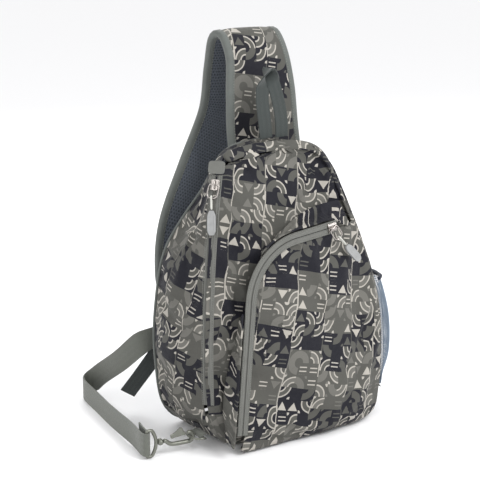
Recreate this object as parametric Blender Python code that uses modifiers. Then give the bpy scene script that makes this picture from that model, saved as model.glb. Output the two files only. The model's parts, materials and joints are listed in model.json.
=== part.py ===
"""Sling bag: a one-strap padded bag that stands on its flat base.

Metres, +Z up. The front faces -Y and the origin is the middle of the flat base. The front panel's
side edges are arcs of one circle, so that the main zip slider turns about that circle's centre. The
front pocket's zip lies in the pocket's own leaning plane: up a leg, round a corner, then along a
straight run where its slider slides.
"""
from math import cos, pi, radians, sin, sqrt

import bmesh
import bpy
import numpy as np
from mathutils import Matrix, Vector

MM = 0.001
GAP = 0.0004                      # clearance between pieces that touch


def mm(x, y, z):
    """A point given in millimetres."""
    return Vector((x * MM, y * MM, z * MM))


X_AXIS, Y_AXIS, Z_AXIS = Vector((1, 0, 0)), Vector((0, 1, 0)), Vector((0, 0, 1))

# ---- Driving dimensions: the body
SHELL = 2.4 * MM                  # thickness of a lined fabric panel
FOOT_HALF = 62 * MM               # half the width of the flat base
FRONT_Y, BACK_Y = -50 * MM, 45 * MM
EDGE_LOW = mm(-107, -50, 50)      # lower end of the main zip, on the front left edge
EDGE_HIGH = mm(-80, -26, 288)     # its upper end
EDGE_RISE = 15 * MM               # how far the arc between them stands out from its chord
SIDE_BULGE = 6 * MM
NARROW_FROM, NARROW_BY = 110 * MM, 0.19      # height and share by which the right side narrows
FULL_HEIGHTS = (0, 5, 15, 31, 50, 75, 110, 150, 190, 240)      # mm, and how many times wider than the
FULL_SHARES = (1.53, 1.44, 1.30, 1.205, 1.17, 1.15, 1.125, 1.09, 1.05, 1.0)     # left it sags there
EDGE_INSET = 8.6 * MM             # from the front edge to the panels on both sides of it
BACK_INSET = 4.5 * MM
BINDING_WIDTH, BINDING_THICK = 11.0 * MM, 1.6 * MM
PAD_THICK = 8 * MM

# ---- Driving dimensions: the front pocket and the zips
POCKET_LEAN = radians(4)
POCKET_PLANE_Y = -79 * MM         # the pocket's plane at the floor
POCKET_FALL, POCKET_REST = 75 * MM, 7.5 * MM     # width of the slope at its right, and its end's height
POCKET_CORNER = Vector((0.7 * MM, 152.6 * MM))   # centre of the zip's rounded corner
POCKET_RADIUS = 66 * MM           # middle of the pocket's zip, round that corner
LEG_TILT, RUN_TILT = 172.8, 96.5             # degrees: outward from the leg, and from the run
POCKET_LEG, POCKET_RUN = 138 * MM, 53 * MM
POCKET_PARK = 46 * MM             # where the slider stands along the run
MAIN_PARK = 0.90                  # where the main slider stands, from -1 (bottom) to 1 (top)
MAIN_SWAY, MAIN_GRIP_SWAY = -8, 14
POCKET_SWAY, POCKET_GRIP_SWAY = -55, 8
TAPE_WIDTH, TAPE_THICK, TAPE_SLOT = 13.0 * MM, 1.1 * MM, 1.7 * MM
TAPE_SET_BACK = 4.6 * MM          # main tape behind the edge, so that it fills the corner
COIL_RADIUS, COIL_SIDE, COIL_DROP = 0.8 * MM, 1.55 * MM, 1.75 * MM
SLIDER_LENGTH, SLIDER_WIDTH = 10.5 * MM, 9.0 * MM
PIVOT_LIFT = 3.5 * MM             # link's hinge above the tape's middle
LINK_LENGTH, LINK_WIDTH, LINK_WIRE = 15.5 * MM, 12.4 * MM, 0.75 * MM
PULL_LENGTH, PULL_WIDTH, PULL_THICK = 25.0 * MM, 8.5 * MM, 4.2 * MM

# ---- Driving dimensions: strap, webbing and hook
STRAP_LAYERS = (("strap_cover", 3.9 * MM, 1.4 * MM), ("strap_foam", 0.0, 5.4 * MM),
                ("strap_mesh", -3.9 * MM, 1.4 * MM))
STRAP_BINDING = 8.0 * MM
WEBBING_WIDTH, WEBBING_THICK = 25.0 * MM, 1.5 * MM
HOOK_AT = mm(-151, -27.5, 16)     # the swivel's middle
HOOK_TO = Vector((0.993, -0.118, 0.0)).normalized()
HOOK_WIRE = 2.1 * MM
RING_BAR = mm(-105.6, -32.6, 16)
RING_REACH, RING_HALF, RING_WIRE = 12.2 * MM, 14.0 * MM, 1.4 * MM

COLOURS = {                       # colour, roughness, metallic
    "print": ((0.11, 0.115, 0.12), 0.8, 0.0),
    "print_light": ((0.30, 0.29, 0.24), 0.8, 0.0),
    "binding": ((0.25, 0.25, 0.19), 0.75, 0.0),
    "tape": ((0.28, 0.29, 0.24), 0.7, 0.0),
    "webbing": ((0.30, 0.29, 0.21), 0.75, 0.0),
    "mesh": ((0.07, 0.09, 0.13), 0.9, 0.0),
    "lining": ((0.33, 0.33, 0.30), 0.8, 0.0),
    "foam": ((0.10, 0.10, 0.11), 0.95, 0.0),
    "nickel": ((0.62, 0.60, 0.57), 0.25, 1.0),
    "olive_metal": ((0.30, 0.29, 0.23), 0.35, 0.8),
    "rubber": ((0.55, 0.55, 0.53), 0.6, 0.0),
    "cord": ((0.62, 0.62, 0.58), 0.8, 0.0),
    "coil": ((0.20, 0.20, 0.17), 0.5, 0.0),
    "plastic": ((0.16, 0.16, 0.13), 0.5, 0.0),
}


# ---- Helpers
def start_scene():
    for item in list(bpy.data.objects):
        bpy.data.objects.remove(item, do_unlink=True)
    parts = bpy.data.collections.new("sling_bag")
    bpy.context.scene.collection.children.link(parts)
    return parts


PARTS = start_scene()


def material(key):
    found = bpy.data.materials.get(key)
    if found:
        return found
    colour, rough, metal = COLOURS[key]
    made = bpy.data.materials.new(key)
    made.use_nodes = True
    shader = made.node_tree.nodes["Principled BSDF"]
    shader.inputs["Base Color"].default_value = (*colour, 1)
    shader.inputs["Roughness"].default_value = rough
    shader.inputs["Metallic"].default_value = metal
    made.diffuse_color = (*colour, 1)
    return made


def add(name, data, finish, place=None):
    item = bpy.data.objects.new(name, data)
    data.materials.append(material(finish))
    PARTS.objects.link(item)
    if place is not None:
        item.matrix_world = place
    return item


def axes(origin, along, out):
    """A placement whose X runs along and whose Z points out."""
    x = along.normalized()
    z = (out - x * out.dot(x)).normalized()
    y = z.cross(x)
    place = Matrix((x, y, z)).transposed().to_4x4()
    place.translation = origin
    return place


def smooth(points, count):
    """A Catmull-Rom curve through the points, cut into equal lengths."""
    pts = [Vector(p) for p in points]
    pts = [pts[0] * 2 - pts[1]] + pts + [pts[-1] * 2 - pts[-2]]
    fine = []
    for a, b, c, d in zip(pts, pts[1:], pts[2:], pts[3:]):
        for step in range(12):
            t = step / 12
            fine.append(0.5 * (2 * b + (c - a) * t + (2 * a - 5 * b + 4 * c - d) * t ** 2
                               + (3 * b - a - 3 * c + d) * t ** 3))
    fine.append(pts[-2].copy())
    return resample(fine, count)


def resample(points, count):
    table = np.array([tuple(p) for p in points])
    run = np.concatenate(([0], np.cumsum(np.linalg.norm(np.diff(table, axis=0), axis=1))))
    at = np.linspace(0, run[-1], count)
    return [Vector([np.interp(a, run, table[:, k]) for k in range(table.shape[1])]) for a in at]


def sheet(name, rows, thick, finish, offset=-1.0):
    """A loft through rows of points, given its thickness by Solidify."""
    wide = len(rows[0])
    verts = [tuple(p) for row in rows for p in row]
    faces = []
    for r in range(len(rows) - 1):
        for c in range(wide - 1):
            a = r * wide + c
            faces.append((a, a + 1, a + wide + 1, a + wide))
    data = bpy.data.meshes.new(name)
    data.from_pydata(verts, [], faces)
    item = add(name, data, finish)
    wall = item.modifiers.new("wall", "SOLIDIFY")
    wall.thickness = thick
    wall.offset = offset
    wall.use_even_offset = False
    return item


def tangents(path):
    ends = [path[0]] + list(path) + [path[-1]]
    return [(b - a).normalized() for a, b in zip(ends, ends[2:])]


def ribbon(name, path, across, widths, thick, finish, lift=0.0, shift=0.0):
    """A flat strap: path is its middle line and across its width direction at each point."""
    widths = widths if isinstance(widths, list) else [widths] * len(path)
    shifts = shift if isinstance(shift, list) else [shift] * len(path)
    rows = []
    for point, ahead, side, wide, aside in zip(path, tangents(path), across, widths, shifts):
        side = (side - ahead * side.dot(ahead)).normalized()
        middle = point + ahead.cross(side) * lift + side * aside
        rows.append([middle - side * wide / 2, middle + side * wide / 2])
    return sheet(name, rows, thick, finish, offset=0.0)


def tube(name, points, radius, finish, closed=False, place=None, sides=2):
    data = bpy.data.curves.new(name, "CURVE")
    data.dimensions = "3D"
    spline = data.splines.new("POLY")
    spline.points.add(len(points) - 1)
    for slot, point in zip(spline.points, points):
        slot.co = (*point, 1)
    spline.use_cyclic_u = closed
    data.bevel_depth = radius
    data.bevel_resolution = sides
    data.use_fill_caps = True
    return add(name, data, finish, place)


def outline(name, points, thick, finish, place, bevel=0.0):
    """A flat outline in its own XY plane, extruded to both sides of it."""
    data = bpy.data.curves.new(name, "CURVE")
    data.dimensions = "2D"
    data.fill_mode = "BOTH"
    spline = data.splines.new("POLY")
    spline.points.add(len(points) - 1)
    for slot, point in zip(spline.points, points):
        slot.co = (point[0], point[1], 0, 1)
    spline.use_cyclic_u = True
    data.extrude = thick / 2 - bevel
    data.bevel_depth = bevel
    data.offset = -bevel
    data.bevel_resolution = 1
    return add(name, data, finish, place)


def rounded(length, width, radius, steps=4):
    """Corner points of a round-cornered rectangle about the origin."""
    points = []
    for number, (sx, sy) in enumerate(((1, 1), (-1, 1), (-1, -1), (1, -1))):
        cx, cy = sx * (length / 2 - radius), sy * (width / 2 - radius)
        for step in range(steps + 1):
            turn = (number + step / steps) * pi / 2
            points.append((cx + radius * cos(turn), cy + radius * sin(turn)))
    return points


def arc(centre, radius, first, last, steps):
    """Points (x, y) round a centre; angles in degrees."""
    turns = [radians(first + (last - first) * s / steps) for s in range(steps + 1)]
    return [(centre[0] + radius * cos(t), centre[1] + radius * sin(t)) for t in turns]


# ---- The two outlines of the body, from the middle of the base round the left to the top
CHORD = EDGE_HIGH - EDGE_LOW
EDGE_OUT = Vector((-0.75, -0.66, 0))
EDGE_OUT = (EDGE_OUT - CHORD * (EDGE_OUT.dot(CHORD) / CHORD.length_squared)).normalized()
EDGE_RADIUS = (CHORD.length ** 2 / 4 + EDGE_RISE ** 2) / (2 * EDGE_RISE)
EDGE_CENTRE = (EDGE_LOW + EDGE_HIGH) / 2 + EDGE_OUT * (EDGE_RISE - EDGE_RADIUS)
EDGE_AXIS = EDGE_OUT.cross(CHORD).normalized()
EDGE_HALF_TURN = np.arcsin(CHORD.length / 2 / EDGE_RADIUS)


def edge_frame(turn):
    """Outward direction and direction of travel at an angle up from the arc's middle."""
    out = Matrix.Rotation(turn, 3, EDGE_AXIS) @ EDGE_OUT
    return out, EDGE_AXIS.cross(out)


def edge_arc(count, low=-1.0, high=1.0):
    turns = np.linspace(low * EDGE_HALF_TURN, high * EDGE_HALF_TURN, count)
    return [EDGE_CENTRE + edge_frame(t)[0] * EDGE_RADIUS for t in turns]


def front_outline():
    """Four stretches: base, lower corner, side and top."""
    base = [mm(0, -50, 0), Vector((-FOOT_HALF, FRONT_Y, 0))]
    corner = [base[-1], mm(-79, -50, 4.5), mm(-92, -50, 15), mm(-102, -50, 31), EDGE_LOW]
    top = [EDGE_HIGH, mm(-73, -23, 297), mm(-58, -20, 304), mm(-32, -18, 308), mm(0, -17, 309)]
    return [resample(base, 4), smooth(corner, 9), edge_arc(19), smooth(top, 9)]


def back_outline():
    base = [mm(0, 45, 0), Vector((-FOOT_HALF, BACK_Y, 0))]
    corner = [base[-1], mm(-82, 45, 4.5), mm(-96, 45, 15), mm(-105, 45, 31), mm(-109, 45, 50)]
    side = [corner[-1], mm(-113, 45, 100), mm(-110, 43, 150), mm(-102, 40, 195), mm(-81, 34, 232),
            mm(-64, 26, 258), mm(-53, 19, 284)]
    top = [side[-1], mm(-46, 17, 296), mm(-35, 15.5, 303), mm(-19, 15, 307), mm(0, 15, 308)]
    return [resample(base, 4), smooth(corner, 9), smooth(side, 19), smooth(top, 9)]


def joined(stretches):
    points = list(stretches[0])
    for stretch in stretches[1:]:
        points += stretch[1:]
    return points


FRONT = joined(front_outline())
BACK = joined(back_outline())
BASE_LAST, CORNER_LAST, SIDE_LAST = 3, 11, 29        # where the stretches end in the joined lists


def mirrored(point):
    """The same place on the right-hand side, which is fuller low down and narrower at the top."""
    over = max(0.0, (point.z - NARROW_FROM) / (EDGE_HIGH.z - NARROW_FROM))
    full = np.interp(point.z / MM, FULL_HEIGHTS, FULL_SHARES)
    return Vector((-point.x * full * (1 - NARROW_BY * over ** 1.6), point.y, point.z))


def half_width(outline_points, z):
    rising = outline_points[BASE_LAST:]
    return -np.interp(z, [p.z for p in rising], [p.x for p in rising])


def depth_at(outline_points, z):
    rising = outline_points[BASE_LAST:]
    return np.interp(z, [p.z for p in rising], [p.y for p in rising])


def outward(index, shape=FRONT):
    """Level with the panel and away from the middle of an outline, at one of its points."""
    before, after = shape[max(index - 1, 0)], shape[min(index + 1, len(shape) - 1)]
    run = after - before
    side = Vector((run.z, 0, -run.x)).normalized()
    return side if side.dot(Vector((shape[index].x, 0, shape[index].z - 0.15))) > 0 else -side


def shrunk(shape, inset):
    return [p - outward(i, shape) * inset for i, p in enumerate(shape)]


# ---- Body panels
def gusset_point(index, part):
    """On the side wall: index goes round the outline and part from back (0) to front (1)."""
    back, front = BACK[index], FRONT[index]
    depth = abs(front.y - back.y)
    first, last = BACK_INSET * 0.8 / depth, 1 - EDGE_INSET / depth
    place = first + (last - first) * part
    level = back.lerp(front, place)
    if index <= BASE_LAST:
        return level
    rise = min(1.0, (index - BASE_LAST) / 8) * (1.0 if index < SIDE_LAST else 0.35)
    return level + outward(index) * SIDE_BULGE * rise * 4 * place * (1 - place)


def gusset(indices, columns=7):
    parts = [c / (columns - 1) for c in range(columns)]
    return [[gusset_point(i, p) for p in parts] for i in indices]


def body_panels():
    left = gusset(range(CORNER_LAST - 3, SIDE_LAST + 1))
    for name, flip in (("left_gusset", False), ("right_gusset", True)):
        rows = [[mirrored(p) for p in row] for row in left] if flip else left
        # a little short at both ends, so that it stops clear of the base and the top panel
        rows = [[a.lerp(b, 0.12) for a, b in zip(rows[0], rows[1])]] + rows[1:-1] + \
               [[a.lerp(b, 0.12) for a, b in zip(rows[-1], rows[-2])]]
        sheet(name, rows, SHELL, "print", offset=1.0 if flip else -1.0)
    low = gusset(range(0, CORNER_LAST - 2))
    base = [[mirrored(p) for p in row] for row in reversed(low[1:])] + low
    sheet("base_panel", base, SHELL, "print_light", offset=-1.0)
    high = gusset(range(SIDE_LAST, len(FRONT)), columns=4)
    top = high + [[mirrored(p) for p in row] for row in reversed(high[:-1])]
    sheet("top_panel", top, SHELL, "print", offset=-1.0)


def upright_sheet(name, shape, inset, bulge, thick, finish, back, lift=0.0):
    """A panel across the bag, in level rows that follow one of the two outlines."""
    rows = []
    border = shrunk(shape, inset)
    low, high = border[0].z + 0.5 * MM, border[-1].z - 0.5 * MM
    levels = [low]
    for point in border[BASE_LAST + 1::2] + [Vector((0, 0, high))]:
        if levels[-1] + 1.2 * MM < point.z <= high:
            levels.append(point.z)
    for z in levels:
        left = -half_width(border, z)
        right = mirrored(Vector((left, 0, z))).x
        near_end = min(1.0, (z - low) / 0.03, (high - z) / 0.03)
        row = []
        for part in np.linspace(-1, 1, 9):
            y = depth_at(shape, z) + lift + bulge * (1 - part ** 2) * max(0.0, near_end)
            row.append(Vector(((left + right) / 2 + part * (right - left) / 2, y, z)))
        rows.append(row)
    return sheet(name, rows, thick, finish, offset=1.0 if back else -1.0)


def front_and_back():
    upright_sheet("front_panel", FRONT, EDGE_INSET + 1 * MM, -3 * MM, SHELL, "print", False)
    upright_sheet("back_pad", BACK, 5 * MM, 3 * MM, PAD_THICK, "mesh", True)
    upright_sheet("back_board", BACK, 12 * MM, 0.0, 1.2 * MM, "plastic", True,
                  lift=-PAD_THICK - 2.5 * MM)


def front_binding():
    """Binding round the front edge from the zip's lower end by the base and right side to its top."""
    half = [(i, FRONT[i], outward(i)) for i in range(len(FRONT))]
    left = [(p, o) for i, p, o in half if i <= CORNER_LAST - 1]
    right = [(mirrored(p), Vector((-o.x, o.y, o.z))) for i, p, o in half]
    top = [(p, o) for i, p, o in half if i > SIDE_LAST + 1]
    loop = list(reversed(left)) + right[1:] + list(reversed(top))[1:]
    points, outs = [], []
    for point, out in loop:
        corner = (out * 0.75 - Y_AXIS * 0.66).normalized()
        outs.append(corner)
        points.append(point - corner * TAPE_SET_BACK)
    across = [a.cross(o) for a, o in zip(tangents(points), outs)]
    ribbon("front_binding", points, across, BINDING_WIDTH, BINDING_THICK, "binding")


def back_binding():
    left = [p.copy() for p in BACK]
    loop = left + [mirrored(p) for p in reversed(left[1:-1])]
    lifted = [Vector((p.x, p.y, max(p.z, 2.1 * MM))) for p in loop]
    tube("back_piping", lifted, 1.7 * MM, "binding", closed=True)


# ---- Zips
def zip_run(prefix, points, outs, finish):
    """Two tapes side by side and the two coils behind their inner edges."""
    across = [a.cross(o) for a, o in zip(tangents(points), outs)]
    tape = (TAPE_WIDTH - TAPE_SLOT) / 2
    for side, sign in (("inner", 1), ("outer", -1)):
        ribbon(f"{prefix}_tape_{side}", points, across, tape, TAPE_THICK, finish,
               shift=sign * (tape + TAPE_SLOT) / 2)
        middle = [p - o * COIL_DROP + a.normalized() * sign * COIL_SIDE
                  for p, o, a in zip(points, outs, across)]
        tube(f"{prefix}_coil_{side}", middle[1:-1], COIL_RADIUS, "coil", sides=1)


def slider(prefix, place):
    """Top plate, neck and bottom plate in one casting; X along the zip, Z out of it."""
    half, neck = SLIDER_WIDTH / 2, 0.45 * MM
    top, under = 2.6 * MM, TAPE_THICK / 2 + GAP
    deep, bottom = -COIL_DROP - COIL_RADIUS - GAP, -COIL_DROP - COIL_RADIUS - 1.3 * MM
    section = [(-half, under), (-half, top - 1 * MM), (-half + 1.6 * MM, top), (half - 1.6 * MM, top),
               (half, top - 1 * MM), (half, under), (neck, under), (neck, deep), (half * 0.7, deep),
               (half * 0.7, bottom), (-half * 0.7, bottom), (-half * 0.7, deep), (-neck, deep),
               (-neck, under)]
    turn = place @ Matrix(((0, 0, 1, 0), (1, 0, 0, 0), (0, 1, 0, 0), (0, 0, 0, 1)))
    outline(f"{prefix}_slider", section, SLIDER_LENGTH, "nickel", turn)
    foot, crown = 3.9 * MM, 5.4 * MM
    arch = [(-foot, 0, top + 0.3 * MM), (-foot, 0, crown - 1.2 * MM), (-foot + 1.5 * MM, 0, crown),
            (foot - 1.5 * MM, 0, crown), (foot, 0, crown - 1.2 * MM), (foot, 0, top + 0.3 * MM)]
    tube(f"{prefix}_bail", arch, 0.8 * MM, "nickel", place=place)


def pull(prefix, place, bend):
    """Link, cord and rubber grip; X is the way they hang, Z out of the bag, origin on the hinge."""
    half, far, corner = LINK_WIDTH / 2 - LINK_WIRE, LINK_LENGTH - 2 * LINK_WIRE, 4.0 * MM
    ring = [(corner * 0.3, -half, 0)]
    ring += [(x, y, 0) for x, y in arc((far - corner, -half + corner), corner, -90, 0, 4)]
    ring += [(x, y, 0) for x, y in arc((far - corner, half - corner), corner, 0, 90, 4)]
    ring += [(corner * 0.3, half, 0), (0, half - corner * 0.3, 0), (0, -half + corner * 0.3, 0)]
    tube(f"{prefix}_link", ring, LINK_WIRE, "nickel", closed=True, place=place)
    grip = place @ Matrix.Translation((far, 0, 0)) @ Matrix.Rotation(bend, 4, "Z")
    wire = 0.9 * MM
    eye = LINK_WIRE + wire + GAP
    loop = [(-x, 0, z) for x, z in arc((0, 0), eye, -50, 50, 4)]
    run = 11.5 * MM
    loop += [(run * 0.6, 0, 1.1 * MM), (run, 0, 1.05 * MM), (run, 0, -1.05 * MM), (run * 0.6, 0, -1.1 * MM)]
    tube(f"{prefix}_cord", loop, wire, "cord", closed=True, place=grip)
    body = rounded(PULL_LENGTH, PULL_WIDTH, 2.6 * MM)
    shape = [(x + run + wire + GAP + PULL_LENGTH / 2, y) for x, y in body]
    outline(f"{prefix}_grip", shape, PULL_THICK, "rubber", grip, bevel=0.9 * MM)


def main_zip():
    turns = np.linspace(-0.985 * EDGE_HALF_TURN, 0.985 * EDGE_HALF_TURN, 25)
    frames = [edge_frame(t) for t in turns]
    radius = EDGE_RADIUS - TAPE_SET_BACK
    points = [EDGE_CENTRE + out * radius for out, _ in frames]
    zip_run("main_zip", points, [out for out, _ in frames], "tape")
    out, ahead = edge_frame(MAIN_PARK * EDGE_HALF_TURN)
    at = EDGE_CENTRE + out * radius
    slider("main", axes(at, ahead, out))
    hang = Matrix.Rotation(radians(MAIN_SWAY), 3, out) @ -ahead
    pull("main", axes(at + out * PIVOT_LIFT, hang, out), radians(MAIN_GRIP_SWAY))


POCKET_UP = Vector((0, sin(POCKET_LEAN), cos(POCKET_LEAN)))
POCKET_OUT = Vector((0, -cos(POCKET_LEAN), sin(POCKET_LEAN)))


def on_pocket(x, height, out=0.0):
    """A point in the pocket's leaning plane."""
    return Vector((x, POCKET_PLANE_Y, 0)) + POCKET_UP * height + POCKET_OUT * out


def heading(degrees):
    return Vector((cos(radians(degrees)), sin(radians(degrees))))


def by_leg(distance, beside):
    """(x, height) at a distance down the leg and beside the zip's middle, away from the pocket."""
    return POCKET_CORNER + heading(LEG_TILT) * (POCKET_RADIUS + beside) + heading(LEG_TILT + 90) * distance


def by_run(distance, beside):
    return POCKET_CORNER + heading(RUN_TILT) * (POCKET_RADIUS + beside) + heading(RUN_TILT - 90) * distance


def pocket_line(beside=0.0, beyond=0.0):
    """(x, height) up the leg, round the corner and along the run."""
    leg = [by_leg(d, beside) for d in np.linspace(POCKET_LEG + beyond, 0, 10)[:-1]]
    corner = [Vector(p) for p in arc(POCKET_CORNER, POCKET_RADIUS + beside, LEG_TILT, RUN_TILT, 8)]
    return leg + corner[:-1] + [by_run(d, beside) for d in np.linspace(0, POCKET_RUN, 9)]


def pocket_zip():
    points = [on_pocket(x, h) for x, h in pocket_line()]
    zip_run("pocket_zip", points, [POCKET_OUT] * len(points), "tape")
    at = on_pocket(*by_run(POCKET_PARK, 0))
    ahead = on_pocket(*by_run(POCKET_PARK + MM, 0)) - at
    slider("pocket", axes(at, ahead, POCKET_OUT))
    hang = Matrix.Rotation(radians(POCKET_SWAY), 3, -POCKET_OUT) @ X_AXIS
    hang.z = -abs(hang.z)
    hang.y = -abs(hang.y)
    pull("pocket", axes(at + POCKET_OUT * PIVOT_LIFT, hang, POCKET_OUT), radians(POCKET_GRIP_SWAY))


def front_y(z):
    return depth_at(FRONT, z)


def right_edge(z):
    """Where the pocket's face ends, just short of the binding on the right."""
    return mirrored(Vector((-half_width(FRONT, z), 0, z))).x - EDGE_INSET - 1.5 * MM


def fallen(point):
    """Pulls a point of the pocket's plane back to the front panel near the right-hand edge."""
    reach = np.clip((right_edge(point.z) - point.x) / POCKET_FALL, 0, 1)
    rest_y = front_y(point.z) - POCKET_REST
    return Vector((point.x, rest_y + (point.y - rest_y) * sqrt(1 - (1 - reach) ** 2), point.z))


def pocket_face():
    """The pocket's face, from the zip to the right-hand edge, proud of the front panel."""
    beside = -TAPE_WIDTH / 2 - 0.6 * MM
    corner = [Vector(p) for p in arc(POCKET_CORNER, POCKET_RADIUS + beside, LEG_TILT, RUN_TILT, 8)]
    foot = next(by_leg(d, beside) for d in np.linspace(0.17, 0.14, 61) if by_leg(d, beside).y > 5 * MM)
    peak = next(by_run(d, beside) for d in np.linspace(0.04, 0.14, 201)
                if by_run(d, beside).x > right_edge(by_run(d, beside).y))
    left = resample([foot, by_leg(0, beside)] + corner[1:5], 20)
    top = resample(corner[4:] + [peak], 12)
    heights = np.linspace(foot.y, peak.y, 20)
    right = [Vector((right_edge(h), h)) for h in heights]
    low = resample([foot, right[0]], 12)
    rows = []
    for i, up in enumerate(np.linspace(0, 1, 20)):
        row = []
        for j, part in enumerate(np.linspace(0, 1, 12)):
            flat = low[j] * (1 - up) + top[j] * up + left[i] * (1 - part) + right[i] * part
            flat -= (low[0] * (1 - part) + low[-1] * part) * (1 - up)
            flat -= (top[0] * (1 - part) + top[-1] * part) * up
            place = fallen(on_pocket(*flat))
            curl = np.clip((flat.y + 12 * MM) / (40 * MM), 0, 1)
            rest_y = front_y(place.z) - POCKET_REST
            place.y = rest_y + (place.y - rest_y) * sqrt(1 - (1 - curl) ** 2)
            row.append(place)
        rows.append(row)
    sheet("pocket_face", rows, SHELL, "print_light", offset=-1.0)
    return rows


CREASE = [(-85, 12), (-89, 40), (-88, 66), (-81, 101), (-69, 136), (-54, 173), (-31, 207),
          (-7, 224), (16, 236), (42, 242), (64, 243)]      # where the wall meets the panel, in mm


def pocket_border():
    """The wall between the pocket's zip and the front panel, on the left and over the top."""
    line = pocket_line(TAPE_WIDTH / 2 + 3.0 * MM, beyond=12 * MM)
    line += [by_run(POCKET_RUN + 6.5 * MM, 4 * MM), by_run(POCKET_RUN + 10.5 * MM, -1 * MM)]
    line += [by_run(POCKET_RUN + 15 * MM, -5 * MM), by_run(POCKET_RUN + 21 * MM, -5 * MM)]
    outer = [fallen(on_pocket(*flat)) for flat in resample(line, 30)]
    inner = [Vector((x, front_y(z) - 4.2 * MM, z)) for x, _, z in smooth([mm(x, 0, z) for x, z in CREASE], 30)]
    sheet("pocket_border", [[a, a.lerp(b, 0.5), b] for a, b in zip(outer, inner)], SHELL, "print", offset=0.0)


def pocket_base(face_rows):
    """The strip under the pocket, from its face back to the front edge."""
    lowest = face_rows[0]
    rows = [[p + Vector((0, SHELL + 0.6 * MM, 0)) for p in lowest],
            [Vector((p.x, front_y(0) - 5.5 * MM, p.z)) for p in lowest]]
    rows = [[a, a.lerp(b, 0.5), b] for a, b in zip(rows[0], rows[1]) if (b.y - a.y) > 1.5 * MM]
    sheet("pocket_base", rows, SHELL, "print", offset=0.0)


# ---- Strap
STRAP_PATH = [mm(16, 29, 282), mm(15, 28, 320), mm(13, 29, 360), mm(11, 33, 395), mm(9, 46, 416),
              mm(8, 62, 412), mm(9, 73, 380), mm(5, 80, 325), mm(-22, 82, 262), mm(-48, 80, 205),
              mm(-60, 78, 160), mm(-64, 78, 132)]
STRAP_WIDTHS = [92, 90, 86, 78, 76, 76, 76, 76, 76, 74, 62, 44]


def strap():
    """Printed cover outside, foam, air mesh inside, and a binding down both edges."""
    packed = smooth([Vector((*p, w * MM)) for p, w in zip(STRAP_PATH, STRAP_WIDTHS)], 44)
    path = [Vector(p[:3]) for p in packed]
    widths = [p[3] for p in packed]
    across = [X_AXIS] * len(path)
    inner = [w - 2 * STRAP_BINDING - 1 * MM for w in widths]
    for name, lift, thick in STRAP_LAYERS:
        finish = {"strap_cover": "print", "strap_foam": "foam", "strap_mesh": "mesh"}[name]
        ribbon(name, path, across, inner, thick, finish, lift=-lift)
    for name, sign in (("strap_binding_left", -1), ("strap_binding_right", 1)):
        ribbon(name, path, across, STRAP_BINDING, 7.5 * MM, "binding",
               shift=[sign * (wide - STRAP_BINDING) / 2 for wide in widths])


# ---- Webbing
ADJUSTER_AT = mm(-65, 78, 119)
LOWER_PATH = [mm(-67, 79.5, 99), mm(-73, 80, 93), mm(-88, 82, 88), mm(-104, 88, 82), mm(-115, 116, 56),
              mm(-119, 154, 30), mm(-124, 170, 16), mm(-132, 171, 13.6), mm(-140, 156, 13.6),
              mm(-147, 112, 13.6), mm(-154, 66, 13.6), mm(-160, 16, 14.2), mm(-165, -8, 15.4),
              mm(-168.2, -20, 16)]
EYE_BAR = mm(-165, -25.8, 16)   # the hook's outer bar, which the webbing goes round
EYE_TURN = 3.2 * MM
TAIL_PATH = [mm(-64, 86, 104), mm(-70, 87, 90), mm(-80, 88, 72), mm(-97, 93, 48), mm(-116, 100, 22)]
HANDLE_PATH = [mm(-3, -3, 312), mm(-5, -3, 330), mm(-10, -3, 352), mm(-9, -3, 372), mm(-1, -3, 383),
               mm(10, -3, 377), mm(19, -3, 355), mm(23, -3, 332), mm(24, -3, 312)]


def webbing():
    lower = smooth(LOWER_PATH, 56)
    loop = [EYE_BAR + Vector((cos(t), sin(t), 0)) * EYE_TURN for t in np.linspace(1.0 * pi, 1.95 * pi, 9)]
    lower += loop + [mm(-161.0, -20, 16), mm(-158.6, -8, 15.6), mm(-154.6, 6, 14.9)]
    ribbon("lower_webbing", lower, [-Z_AXIS + X_AXIS * max(0.0, 1.2 - i / 5) for i in range(len(lower))],
           WEBBING_WIDTH, WEBBING_THICK, "webbing")
    tail = smooth(TAIL_PATH, 16)
    ribbon("webbing_tail", tail, [X_AXIS] * len(tail), WEBBING_WIDTH * 0.92, WEBBING_THICK, "webbing")


def handle():
    """A loop of webbing that turns half round on its way, with its faces fore and aft at its ends."""
    path = smooth(HANDLE_PATH, 30)
    across = []
    for i in range(len(path)):
        turn = pi * i / (len(path) - 1)
        across.append(X_AXIS * cos(turn) + Y_AXIS * sin(turn))
    ribbon("grab_handle", path, across, WEBBING_WIDTH * 0.96, WEBBING_THICK, "webbing")


def adjuster():
    """Three-bar plastic adjuster at the end of the padded strap."""
    place = axes(ADJUSTER_AT, -Z_AXIS, Y_AXIS)
    frame = [(x, y) for x, y in rounded(20 * MM, 33 * MM, 3 * MM)]
    data = bpy.data.curves.new("strap_adjuster", "CURVE")
    data.dimensions = "2D"
    data.fill_mode = "BOTH"
    slots = [rounded(4.6 * MM, 26 * MM, 0.8 * MM), rounded(4.6 * MM, 26 * MM, 0.8 * MM)]
    rings = [frame] + [[(x + s, y) for x, y in slot] for slot, s in zip(slots, (-4.6 * MM, 4.6 * MM))]
    for ring in rings:
        spline = data.splines.new("POLY")
        spline.points.add(len(ring) - 1)
        for slot, point in zip(spline.points, ring):
            slot.co = (point[0], point[1], 0, 1)
        spline.use_cyclic_u = True
    data.extrude = 1.6 * MM
    add("strap_adjuster", data, "plastic", place)


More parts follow.
